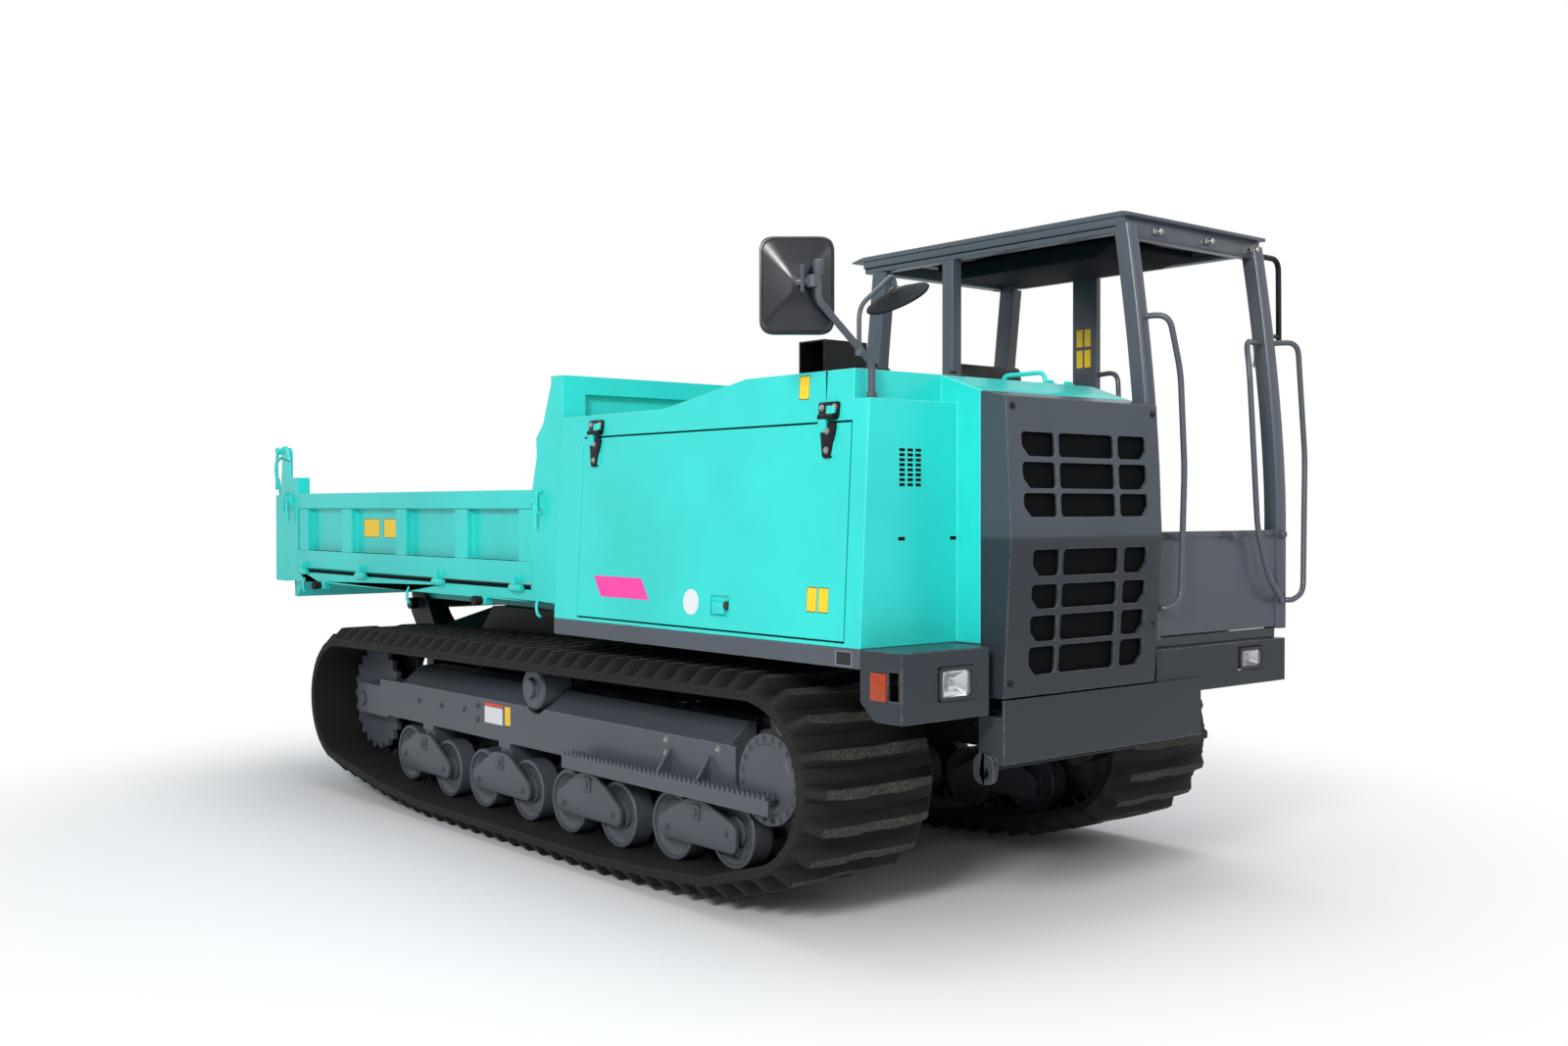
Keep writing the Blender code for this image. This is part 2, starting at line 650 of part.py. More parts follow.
def side_step():
    """Serrated foot bar on two brackets, along the lower front of the track frame."""
    out = -FRAME_HALF - STEP_OUT
    shapes = [box((STEP_REAR, STEP_FRONT), (out, out + 0.012), (STEP_Z - 0.055, STEP_Z)),
              box((STEP_REAR, STEP_FRONT), (out + 0.002, -DRIVE_FACE - RUN),
                  (STEP_Z - 0.010, STEP_Z - 0.002))]
    for x in (STEP_REAR + 0.62, STEP_REAR + 0.86):
        shapes.append(prism([(out + 0.006, STEP_Z - 0.045), (-FRAME_HALF + 0.005, STEP_Z - 0.045),
                             (-FRAME_HALF + 0.005, STEP_Z + 0.09), (-FRAME_HALF - 0.01, STEP_Z + 0.09),
                             (out + 0.006, STEP_Z - 0.012)], "X", x, x + 0.012))
    return shapes


# Chassis and deck

def chassis():
    """Two rails, the cross beams to the track frames and the brackets of the tipping pivot."""
    shapes = []
    cuts = []
    for side in (-1, 1):
        rail = sorted((side * (RAIL_OFFSET - RAIL_WIDTH / 2), side * (RAIL_OFFSET + RAIL_WIDTH / 2)))
        shapes.append(box((RAIL_REAR, RAIL_FRONT), rail, (RAIL_BOTTOM, RAIL_TOP)))
        for y in (rail[0], rail[1] - BRACKET):
            shapes.append(prism([
                (RAIL_REAR + 0.14, RAIL_BOTTOM), (RAIL_REAR + 0.14, RAIL_TOP - 0.01),
                (TIP_PIVOT[0] + 0.06, TIP_PIVOT[1] + 0.06), (TIP_PIVOT[0] - 0.06, TIP_PIVOT[1] + 0.06),
                (TIP_PIVOT[0] - 0.08, TIP_PIVOT[1] - 0.05), (RAIL_REAR, RAIL_BOTTOM)],
                "Y", y, y + BRACKET))
    reach = RAIL_OFFSET + RAIL_WIDTH / 2 + 0.05
    shapes.append(disc(TIP_PIVOT, TIP_PIN, "Y", -reach, reach))
    track_inner = TRACK_OFFSET - FRAME_HALF - GAP
    for x in BEAMS:
        shapes.append(box((x - BEAM_LENGTH / 2, x + BEAM_LENGTH / 2), (-track_inner, track_inner),
                          (BEAM_BOTTOM, BEAM_TOP)))
    for x in CROSS_MEMBERS:
        shapes.append(box((x - 0.04, x + 0.04), (-reach, reach), (CROSS_BOTTOM, BEAM_TOP)))
    foot_x, foot_z = RAM_FOOT
    for side in (-1, 1):
        plate = sorted((side * RAM_FORK, side * (RAM_FORK + 0.02)))
        shapes.append(prism([(foot_x - 0.06, foot_z - 0.05), (foot_x + 0.06, foot_z - 0.05),
                             (0.62, CROSS_BOTTOM + 0.005), (0.62, BEAM_TOP - 0.005),
                             (foot_x - 0.06, foot_z + 0.05)], "Y", *plate))
    cuts.append(disc(RAM_FOOT, 0.022, "Y", -0.12, 0.12))
    for y in (-0.45, 0.15):
        shapes.append(box((RAIL_FRONT - 0.10, SKIRT_FRONT - SKIRT_DEPTH - GAP), (y, y + 0.2),
                          NOSE_BEAM))
    return fused(shapes, cuts)


def deck():
    """Base plate that carries the hood and the operator's place, with its folded side rail."""
    shapes = [box((DECK_REAR, HOOD_FRONT - GAP), (-DECK_HALF, HOOD_LEFT + 0.006),
                  (DECK_BOTTOM, DECK_TOP - GAP)),
              box((CAB_REAR, CAB_FRONT - 0.02), (HOOD_LEFT + 0.003, FLOOR_LEFT),
                  (DECK_BOTTOM, FLOOR_TOP)),
              box((HOOD_FRONT - 0.1, NOSE_FRONT), (-HOOD_INNER + 0.006, HOOD_LEFT),
                  (DECK_BOTTOM, DECK_TOP - GAP))]
    return fused(shapes)


def bumper_right():
    """Corner bumper with a chamfered rear end and a recess for each lamp."""
    side = prism([(HOOD_FRONT, BUMPER_TOP - GAP), (HOOD_FRONT, 0.819), (HOOD_FRONT + 0.065, BUMPER_BOTTOM),
                  (BUMPER_FRONT, BUMPER_BOTTOM), (BUMPER_FRONT, BUMPER_TOP - GAP)],
                 "Y", -DECK_HALF, -BUMPER_INNER)
    inner = box((HOOD_FRONT - 0.1, BUMPER_FRONT - 0.012), (-DECK_HALF + 0.012, -BUMPER_INNER - 0.012),
                (BUMPER_BOTTOM - 0.1, BUMPER_TOP - 0.012))
    lamp = box((BUMPER_FRONT - 0.05, BUMPER_FRONT + 0.05), *LAMP_RIGHT)
    turn_lamp = box((BUMPER_FRONT - 0.138, BUMPER_FRONT - 0.065), (-DECK_HALF - 0.01, -DECK_HALF + 0.006),
                    (0.827, 0.917))
    slot = box((BUMPER_FRONT - 0.060, BUMPER_FRONT - 0.016), (-DECK_HALF - 0.01, -DECK_HALF + 0.05),
               (0.834, 0.921))
    return fused([side], [inner, lamp, turn_lamp, slot])


def bumper_left():
    """Bumper bar under the operator's place."""
    shape = box((CAB_FRONT - 0.16, BUMPER_FRONT), (HOOD_LEFT + 0.04, FLOOR_LEFT),
                (BUMPER_BOTTOM - 0.008, DECK_BOTTOM - GAP))
    inner = box((CAB_FRONT - 0.3, BUMPER_FRONT - 0.012), (HOOD_LEFT + 0.052, FLOOR_LEFT - 0.012),
                (BUMPER_BOTTOM - 0.1, DECK_BOTTOM - 0.012))
    lamp = box((BUMPER_FRONT - 0.05, BUMPER_FRONT + 0.05), *LAMP_LEFT)
    return fused([shape], [inner, lamp])


def skirt():
    """Low panel between the tracks, with a tow eye at its right end."""
    shelf = BUMPER_BOTTOM - 0.012
    rear = SKIRT_FRONT - SKIRT_DEPTH
    outline = [(rear, SKIRT_BOTTOM), (SKIRT_FRONT, SKIRT_BOTTOM), (SKIRT_FRONT, SKIRT_TOP),
               (BUMPER_FRONT + GAP, SKIRT_TOP), (BUMPER_FRONT + GAP, shelf), (rear, shelf)]
    shapes = [prism(outline, "Y", -SKIRT_RIGHT, SKIRT_LEFT)]
    eye_x, eye_z = SKIRT_FRONT - 0.067, SKIRT_BOTTOM - 0.03
    shapes.append(prism(rounded([(eye_x - 0.05, eye_z - 0.038), (eye_x + 0.04, eye_z - 0.038),
                                 (eye_x + 0.04, eye_z + 0.062), (eye_x - 0.05, eye_z + 0.062)], 0.04, 3),
                        "Y", -SKIRT_RIGHT - 0.02, -SKIRT_RIGHT + 0.005))
    hollow = box((rear + 0.012, SKIRT_FRONT - 0.012), (-SKIRT_RIGHT + 0.012, SKIRT_LEFT - 0.012),
                 (SKIRT_BOTTOM - 0.1, shelf - 0.012))
    eye = disc((eye_x, eye_z), 0.02, "Y", -1, 0)
    return fused(shapes, [hollow, eye])


# Hood, grille and engine

def hood_profile(inset=0.0, top=0.0):
    """Side outline of the hood's wing, drawn in by a wall."""
    return [(DECK_REAR + inset, DECK_TOP - (0.1 if inset else 0.0)),
            (HOOD_FRONT - inset, DECK_TOP - (0.1 if inset else 0.0)),
            (HOOD_FRONT - inset, HOOD_SHELF - top), (HOOD_SHELF_X - inset, HOOD_SHELF - top),
            (HOOD_SHELF_X - inset, HOOD_HIGH - top), (HOOD_RISE[1], HOOD_HIGH - top),
            (HOOD_RISE[0], HOOD_LOW - top), (DECK_REAR + inset, HOOD_LOW - top)]


def nose_profile(inset=0.0):
    """Side outline of the hood's middle, which reaches forward to the grille."""
    low = DECK_TOP - (0.1 if inset else 0.0)
    return [(DECK_REAR + inset, low), (NOSE_FRONT + inset, low), (NOSE_FRONT + inset, NOSE_TOP - inset),
            (HOOD_SHELF_X, HOOD_HIGH - inset), (HOOD_RISE[1], HOOD_HIGH - inset),
            (HOOD_RISE[0], HOOD_LOW - inset), (DECK_REAR + inset, HOOD_LOW - inset)]


def lean(mesh):
    """Lean the hood's outer side in towards its top."""
    middle = -(HOOD_INNER + DECK_HALF) / 2
    for vertex in mesh.vertices:
        if vertex.co.y < middle:
            vertex.co.y += HOOD_LEAN * (vertex.co.z - DECK_TOP) / (HOOD_HIGH - DECK_TOP)
    return mesh


def hood_shell():
    """Sheet hood: wing over the engine and middle up to the grille, open for door and grille."""
    wing = lean(prism(hood_profile(), "Y", -DECK_HALF, -HOOD_INNER + 0.02))
    middle = prism(nose_profile(), "Y", -HOOD_INNER, HOOD_LEFT)
    wall = HOOD_WALL
    cuts = [lean(prism(hood_profile(wall, wall), "Y", -DECK_HALF + wall, -HOOD_INNER + 0.03)),
            prism(nose_profile(wall), "Y", -HOOD_INNER + wall, HOOD_LEFT - wall)]
    hinge_y, hinge_z = door_hinge_place()[1:]
    leaves = []
    for x in DOOR_HINGES:
        lane = (x + GAP / 2, x + 0.036)
        leaves.append(disc((hinge_y, hinge_z), KNUCKLE, "X", *lane, 10))
        leaves.append(box(lane, (hinge_y - 0.006, hinge_y + 0.018), (hinge_z, hinge_z + 0.035)))
    edge = RUN
    cuts.append(box((DOOR_REAR - edge, DOOR_FRONT + edge), (-DECK_HALF - 0.1, -DECK_HALF + 0.12),
                    (DOOR_BOTTOM - edge, DOOR_TOP + edge)))
    (rear, front), side = HANDLE_X, HANDLE_Y
    handle = tube([(rear, side, HOOD_HIGH - 0.005), (rear + 0.01, side, HOOD_HIGH + 0.055),
                   (front - 0.01, side, HOOD_HIGH + 0.055), (front, side, HOOD_HIGH - 0.005)], 0.0075, 0.03)
    return fused([fused([wing, middle], cuts), handle] + leaves)


def hood_door():
    """Side door of the hood with its two strap hinges and latch recess."""
    panel = lean(prism([(DOOR_REAR, DOOR_BOTTOM), (DOOR_FRONT, DOOR_BOTTOM), (DOOR_FRONT, DOOR_TOP),
                        (DOOR_REAR, DOOR_TOP)], "Y", -DECK_HALF, -DECK_HALF + DOOR_THICK))
    shapes = [panel]
    hinge_y, hinge_z = door_hinge_place()[1:]
    for x in DOOR_HINGES:
        shapes.append(lean(prism([(x - 0.022, DOOR_TOP - 0.105), (x + 0.022, DOOR_TOP - 0.105),
                                  (x + 0.036, DOOR_TOP - 0.004), (x - 0.036, DOOR_TOP - 0.004)],
                                 "Y", -DECK_HALF - 0.008, -DECK_HALF + 0.008)))
        lane = (x - 0.036, x - GAP / 2)
        shapes.append(box(lane, (hinge_y - 0.008, hinge_y + 0.006), (DOOR_TOP - 0.03, hinge_z)))
        shapes.append(disc((hinge_y, hinge_z), KNUCKLE, "X", *lane, 10))
    latch = box(DOOR_LATCH[0], (-DECK_HALF - 0.05, -DECK_HALF + 0.016), DOOR_LATCH[1])
    return fused(shapes, [latch])


def door_hinge_place():
    """Axis of the hood door's hinges."""
    share = (DOOR_TOP + 0.02 - DECK_TOP) / (HOOD_HIGH - DECK_TOP)
    return (DOOR_FRONT, -DECK_HALF + HOOD_LEAN * share - 0.012, DOOR_TOP + 0.02)


def grille():
    """Radiator grille: folded housing with rows of openings above and below its crease."""
    face = [GRILLE_BOTTOM, GRILLE_CREASE, GRILLE_TOP]
    rear = NOSE_FRONT + GAP
    outline = face + [(NOSE_FRONT + 0.02, NOSE_TOP - 0.003), (rear, NOSE_TOP - 0.003),
                      (rear, GRILLE_BOTTOM[1])]
    shell = prism(outline, "Y", -HOOD_INNER, HOOD_LEFT)
    wall = GRILLE_WALL
    inside = [(x - wall, z) for x, z in face]
    inside[0] = (inside[0][0], inside[0][1] + wall)
    inside[2] = (inside[2][0], inside[2][1] - wall)
    inside += [(NOSE_FRONT - 0.2, inside[2][1]), (NOSE_FRONT - 0.2, inside[0][1])]
    cuts = [prism(inside, "Y", -HOOD_INNER + wall, HOOD_LEFT - wall)]
    for columns, rows in (GRILLE_UPPER, GRILLE_LOWER):
        for low, high in rows:
            for left, right in columns:
                corner = GRILLE_CHAMFER
                opening = [(left, low), (right, low), (right, high), (left, high)]
                if left == columns[0][0]:
                    opening[:1] = [(left, low + corner), (left + corner, low)]
                if right == columns[-1][1]:
                    opening[1:2] = [(right - corner, low), (right, low + corner)]
                cuts.append(prism(rounded(opening, 0.010, 1), "X", NOSE_FRONT, GRILLE_CREASE[0] + 0.1))
    return fused([shell], cuts)


# Operator's place

def front_post():
    """Outline in (x, z) of a front post: upright to the knee, then curving back to the roof."""
    low = (CAB_FRONT - POST / 2 - GAP, FLOOR_TOP + GAP)
    points = [low, (low[0], KNEE_Z - 0.25)]
    top = (ROOF_FRONT - POST / 2, ROOF_TOP - ROOF_DEPTH / 2)
    for k in range(1, 6):
        t = k / 5
        back = (low[0] - top[0]) * t ** 1.6
        points.append((low[0] - back, KNEE_Z - 0.25 + (top[1] - KNEE_Z + 0.25) * t))
    return strip(points, POST)


def canopy_frame():
    """Posts, roof rails and grab rails, welded into one frame."""
    y_right, y_left = ROOF_RIGHT, ROOF_LEFT
    shapes = []
    for y in (y_right, y_left - POST):
        shapes.append(prism(front_post(), "Y", y, y + POST))
    top = (ROOF_TOP - ROOF_DEPTH, ROOF_TOP - ROOF_SHEET)
    for y in (y_right, y_left - POST):
        shapes.append(box((ROOF_REAR, ROOF_FRONT), (y, y + POST), top))
    for x in (ROOF_REAR, ROOF_FRONT - POST):
        shapes.append(box((x, x + POST), (y_right, y_left), top))
    mid_low = HOOD_HIGH + GAP
    shapes.append(box(MID_POST_RIGHT, (y_right, y_right + 0.055), (FLOOR_TOP + GAP, ROOF_TOP - 0.02)))
    shapes.append(box(MID_POST_LEFT, (y_left - 0.03, y_left), (FLOOR_TOP + GAP, ROOF_TOP - 0.02)))
    for y in (y_right, y_left - POST):
        shapes.append(prism(strip([(ROOF_REAR + 0.04, FLOOR_TOP + GAP), (ROOF_REAR + 0.04, mid_low),
                                   (ROOF_REAR + 0.10, ROOF_TOP - 0.02)], 0.08), "Y", y, y + POST))
    for y in (0.34, 0.66, 0.96):
        shapes.append(box((ROOF_FRONT - 0.01, ROOF_FRONT + 0.02), (y - 0.012, y + 0.012),
                          (ROOF_TOP - 0.056, ROOF_TOP - 0.032)))
    return fused(shapes + grab_rails())


def grab_rails():
    """Tubes welded to the front posts at both ends."""
    right, left = ROOF_RIGHT + POST / 2, ROOF_LEFT - POST / 2
    x = CAB_FRONT - 0.03
    rails = [
        [(x - 0.03, right, 2.10), (x + 0.075, right, 2.11), (x + 0.10, right, 1.62),
         (x + 0.08, right, GRAB_FOOT), (x, right, GRAB_FOOT)],
        [(x - 0.03, left, 2.06), (x + 0.03, left - 0.16, 2.06), (x + 0.05, left - 0.17, 1.62),
         (x + 0.05, left - 0.17, 1.40), (x, left, 1.38)],
        [(x - 0.03, left, 2.06), (x + 0.02, left + 0.14, 2.07), (x + 0.03, left + 0.16, 1.62),
         (x, left + 0.14, 1.12), (x, left, 1.10)],
        [(1.50, left + 0.02, 1.99), (1.66, left + 0.02, 2.0), (1.67, left + 0.02, 1.75),
         (1.50, left + 0.02, 1.74)],
    ]
    return [tube(path, RAIL_TUBE) for path in rails]


def cab_panel():
    """Folded front panel of the operator's place."""
    x = CAB_FRONT + GAP
    panel = box((x, x + 0.012), (FLOOR_RIGHT + 0.005, FLOOR_LEFT - 0.005), (DECK_TOP - 0.017, CAB_PANEL_TOP))
    flange = box((x, x + 0.018), (FLOOR_RIGHT + 0.005, FLOOR_LEFT - 0.005),
                 (CAB_PANEL_TOP - 0.02, CAB_PANEL_TOP))
    hole = disc((ROOF_RIGHT + POST / 2, GRAB_FOOT), RAIL_TUBE + PLAY, "X", x - 0.1, x + 0.1, 10)
    clamps = [box((x + 0.006, x + 0.034), (y - 0.012, y + 0.012),
                  (CAB_PANEL_TOP - 0.029, CAB_PANEL_TOP - 0.005))
              for y in (0.274, 0.625, 0.955)]
    return fused([panel, flange] + clamps, [hole])


def roof_panel():
    """Sheet roof with folded edges and a small visor at the rear."""
    edge = 0.012
    under = ROOF_TOP - ROOF_SHEET + GAP
    return prism([(ROOF_REAR - 0.07, under), (ROOF_REAR - 0.07, ROOF_TOP),
                  (ROOF_REAR, ROOF_TOP + 0.012), (ROOF_FRONT - 0.02, ROOF_TOP + 0.012),
                  (ROOF_FRONT + 0.01, ROOF_TOP), (ROOF_FRONT + 0.01, under)],
                 "Y", ROOF_RIGHT - edge, ROOF_LEFT + edge)


def roof_lining():
    """Moulded box under the roof, over the operator's head."""
    high = ROOF_TOP - ROOF_SHEET
    outline = [(LINING_REAR, high), (LINING_REAR, high - 0.06), (LINING_REAR + 0.10, high - LINING_DEPTH),
               (LINING_FRONT - 0.16, high - LINING_DEPTH), (LINING_FRONT, high - 0.05),
               (LINING_FRONT, high)]
    return prism(outline, "Y", ROOF_RIGHT + 0.17, ROOF_LEFT - 0.17)


def seat():
    """Operator's seat: pan, cushion and back on a box base."""
    base = box(SEAT_BASE, (SEAT_Y[0] + 0.04, SEAT_Y[1] - 0.04), (FLOOR_TOP + GAP, SEAT_CUSHION[0][1] + 0.02))
    cushion = prism(rounded(list(SEAT_CUSHION), 0.04, 2), "Y", *SEAT_Y)
    back = prism(rounded(list(SEAT_BACK), 0.04, 2), "Y", *SEAT_Y)
    return fused([base, cushion, back])


def console():
    """Control tower in front of the seat with two travel levers."""
    body = prism([(CONSOLE_TOP[-1][0], FLOOR_TOP + GAP), (CONSOLE_TOP[0][0], FLOOR_TOP + GAP)]
                 + list(CONSOLE_TOP), "Y", *CONSOLE_Y)
    levers = [tube([(x, y, z) for x, z in LEVER_PATH], 0.014, 0.03, 2, 6) for y in LEVERS]
    return fused([body] + levers)


# Bed

def bed_body():
    """Floor, sills, corner posts, front columns and headboard of the bed."""
    half = BED_HALF
    shapes = [box((TAIL_FRONT + RUN, BED_FRONT), (-half + 0.02, half - 0.02),
                  (FLOOR_RAIL_TOP - BED_FLOOR, FLOOR_RAIL_TOP))]
    column = [(COLUMN_REAR, BED_BOTTOM), (BED_FRONT, BED_BOTTOM), (BED_FRONT, HEADBOARD_TOP),
              (0.403, HEADBOARD_TOP), (0.328, 1.761), (0.274, 1.707), (0.278, 1.629),
              (COLUMN_REAR, GATE_TOP)]
    for side in (-1, 1):
        def lane(a, b):
            return sorted((side * (half - a), side * (half - b)))
        shapes.append(box((TAIL_FRONT + RUN, BED_FRONT), lane(0, 0.05), (BED_BOTTOM, FLOOR_RAIL_TOP)))
        shapes.append(prism(column, "Y", *lane(0, 0.05)))
        for x in GATE_HINGES:
            spot = (x + GAP / 2, x + 0.03)
            shapes.append(disc((side * GATE_AXIS[0], GATE_AXIS[1]), GATE_KNUCKLE, "X", *spot, 10))
            shapes.append(box(spot, lane(half - GATE_AXIS[0], 0.006),
                              (GATE_AXIS[1] - GATE_KNUCKLE, GATE_AXIS[1] + 0.004)))
        shapes.append(box((BED_FRONT - 0.09, BED_FRONT), lane(0, 0.11), (BED_BOTTOM, HEADBOARD_TOP)))
        shapes.append(box((TAIL_FRONT + RUN, GATE_REAR - RUN), lane(0, 0.07), (BED_BOTTOM, POST_TOP)))
        shapes.append(prism(rounded([(TAIL_FRONT + 0.012, POST_TOP - 0.02), (-2.27, POST_TOP - 0.02),
                                     (-2.28, 1.67), (TAIL_HINGE[0] + 0.035, TAIL_HINGE[1] + 0.035),
                                     (TAIL_HINGE[0] - 0.02, TAIL_HINGE[1] + 0.03),
                                     (TAIL_HINGE[0] - 0.02, TAIL_HINGE[1] - 0.03)], 0.012, 1),
                            "Y", *lane(0.0, 0.014)))
        shapes.append(box((-2.24, BED_FRONT - 0.03),
                          sorted((side * (SILL_OFFSET - SILL_WIDTH / 2),
                                  side * (SILL_OFFSET + SILL_WIDTH / 2))),
                          (RAIL_TOP + RUN, FLOOR_RAIL_TOP - 0.01)))
        lug = sorted((side * (RAIL_OFFSET - RAIL_WIDTH / 2 + BRACKET + 0.004),
                      side * (RAIL_OFFSET + RAIL_WIDTH / 2 - BRACKET - 0.004)))
        shapes.append(prism([(TIP_PIVOT[0] - 0.055, TIP_PIVOT[1] - 0.05),
                             (TIP_PIVOT[0] + 0.055, TIP_PIVOT[1] - 0.05), (TIP_PIVOT[0] + 0.09, 1.0),
                             (TIP_PIVOT[0] - 0.09, 1.0)], "Y", *lug))
        shapes += rail_fittings(side)
        eye = sorted((side * (RAM_WIDTH / 2 + 0.004), side * (RAM_WIDTH / 2 + 0.022)))
        shapes.append(prism([(RAM_EYE[0] - 0.05, RAM_EYE[1] - 0.045), (RAM_EYE[0] + 0.05, RAM_EYE[1] - 0.045),
                             (RAM_EYE[0] + 0.12, 1.09), (RAM_EYE[0] - 0.12, 1.09)], "Y", *eye))
    for x in (-2.0, -1.5, -0.9, -0.35, 0.15):
        shapes.append(box((x - 0.03, x + 0.03), (-half + 0.03, half - 0.03),
                          (BED_BOTTOM, FLOOR_RAIL_TOP - 0.01)))
    shapes.append(prism([(-2.33, BED_BOTTOM + 0.03), (-2.33, 0.94), (-2.30, 0.94),
                         (-2.17, BED_BOTTOM + 0.03)], "Y", -half + 0.05, half - 0.05))
    shapes.append(box((BED_FRONT - 0.055, BED_FRONT - 0.04), (-half + 0.05, half - 0.05),
                      (FLOOR_RAIL_TOP - 0.01, HEADBOARD_TOP - 0.01)))
    shapes.append(box((BED_FRONT - 0.07, BED_FRONT), (-half + 0.05, half - 0.05),
                      (HEADBOARD_TOP - 0.075, HEADBOARD_TOP)))
    cuts = [disc(TIP_PIVOT, TIP_PIN + PLAY, "Y", -half, half),
            disc(RAM_EYE, 0.022, "Y", -0.12, 0.12),
            disc(TAIL_HINGE, 0.013, "Y", -half - 0.1, half + 0.1, 12)]
    return fused(shapes, cuts)


def rail_fittings(side):
    """Rope hooks and gate rests under one sill of the bed, and the latches on its posts."""
    y = side * BED_HALF
    out = side * 0.012
    shapes = []
    for x in ROPE_HOOKS:
        shapes.append(tube([(x - 0.015, y - out, BED_BOTTOM + 0.03), (x - 0.012, y + out, BED_BOTTOM - 0.005),
                            (x - 0.002, y + out, BED_BOTTOM - 0.045),
                            (x + 0.022, y + out, BED_BOTTOM - 0.055)],
                           0.006, 0.02))
    for x in GATE_RESTS:
        shapes.append(box((x - 0.03, x + 0.03), sorted((y - side * 0.03, y + side * 0.008)),
                          (BED_BOTTOM - 0.028, BED_BOTTOM + 0.01)))
        shapes.append(disc((x, BED_BOTTOM - 0.010), 0.017, "Y", *sorted((y, y + side * 0.042)), 12))
    for x, z in POST_LATCHES:
        shapes.append(box((x - 0.022, x + 0.022), sorted((y - side * 0.01, y + side * 0.012)),
                          (z - 0.03, z + 0.03)))
        shapes.append(tube([(x, y + side * 0.008, z), (x, y + side * 0.022, z),
                            (x + 0.012, y + side * 0.022, z - 0.11)],
                           0.006, 0.01))
    return shapes


def side_gate():
    """Right drop side: sheet with a box rail above and below and upright ribs between."""
    y = -BED_HALF
    rear, front = GATE_REAR, COLUMN_REAR - RUN
    inner = y + GATE_DEPTH
    shapes = [box((rear, front), (inner - GATE_PLATE, inner), (GATE_BOTTOM, GATE_TOP)),
              box((rear, front), (y, inner), (GATE_TOP - 0.08, GATE_TOP)),
              box((rear, front), (y, inner), (GATE_BOTTOM, GATE_BOTTOM + 0.09))]
    for x in GATE_RIBS:
        low, high = max(x - GATE_RIB / 2, rear), min(x + GATE_RIB / 2, front)
        shapes.append(box((low, high), (y + 0.004, inner), (GATE_BOTTOM + 0.01, GATE_TOP - 0.01)))
    axis_y, axis_z = -GATE_AXIS[0], GATE_AXIS[1]
    for x in GATE_HINGES:
        lane = (x - 0.03, x - GAP / 2)
        shapes.append(disc((axis_y, axis_z), GATE_KNUCKLE, "X", *lane, 10))
        shapes.append(prism([(axis_y - GATE_KNUCKLE, axis_z), (axis_y - GATE_KNUCKLE, GATE_BOTTOM + 0.03),
                             (y + 0.006, GATE_BOTTOM + 0.03), (y + 0.006, GATE_BOTTOM + 0.004),
                             (y - 0.005, GATE_BOTTOM - 0.004), (axis_y + 0.007, axis_z)], "X", *lane))
    return fused(shapes)


def tailgate():
    """Top-hung tailgate: sheet in a box frame with two hinge arms."""
    half = BED_HALF
    front, rear = TAIL_FRONT, TAIL_REAR
    low, high = 1.025, POST_TOP - 0.003
    shapes = [box((front - 0.02, front), (-half + 0.01, half - 0.01), (low, high)),
              box((rear, front), (-half, half), (high - 0.075, high)),
              box((rear, front), (-half, half), (low, low + 0.085))]
    for side in (-1, 1):
        shapes.append(box((rear, front), sorted((side * (half - 0.06), side * half)), (low, high)))
    for y in (-0.5, 0.0, 0.5):
        shapes.append(box((rear + 0.02, front), (y - 0.05, y + 0.05), (low, high)))
    for side in (-1, 1):
        lane = sorted((side * (half - 0.018), side * (half - 0.045)))
        shapes.append(prism([(rear + 0.02, high - 0.02), (front, high - 0.02), (front, TAIL_HINGE[1] - 0.04),
                             (TAIL_HINGE[0] + 0.025, TAIL_HINGE[1]),
                             (TAIL_HINGE[0] + 0.012, TAIL_HINGE[1] + 0.026),
                             (TAIL_HINGE[0] - 0.025, TAIL_HINGE[1] + 0.026), (rear + 0.05, TAIL_HINGE[1])],
                            "Y", *lane))
        pin = sorted((side * (half - 0.05), side * (half + 0.008)))
        shapes.append(disc(TAIL_HINGE, 0.012, "Y", *pin, 12))
    grip_y = -half + 0.03
    shapes.append(tube([(rear + 0.06, grip_y, TAIL_HINGE[1] - 0.02),
                        (TAIL_HANDLE, grip_y, TAIL_HINGE[1] - 0.04),
                        (TAIL_HANDLE, grip_y, high + 0.01), (rear + 0.01, grip_y, high - 0.03)], 0.009))
    return fused(shapes)


def ram_frame():
    """Direction along the cylinder in the (x, z) plane, and its closed length."""
    foot, eye = Vector(RAM_FOOT), Vector(RAM_EYE)
    return foot, (eye - foot).normalized(), (eye - foot).length


def along_ram(start, end, radius, count=14):
    """Round bar on the cylinder's axis between two distances from its foot."""
    foot, way = ram_frame()[:2]
    a, b = foot + way * start, foot + way * end
    return tube([(a.x, 0, a.y), (b.x, 0, b.y)], radius, count=count)


def ram_barrel():
    """Barrel of the tipping cylinder with its foot eye and pin."""
    length = ram_frame()[2]
    barrel = along_ram(0.03, length - 0.16, RAM_RADIUS)
    eye = disc(RAM_FOOT, 0.05, "Y", -RAM_WIDTH / 2, RAM_WIDTH / 2)
    pin = disc(RAM_FOOT, 0.021, "Y", -RAM_FORK - 0.03, RAM_FORK + 0.03)
    bore = along_ram(0.10, length + 0.1, RAM_ROD + PLAY)
    return fused([barrel, eye, pin], [bore])


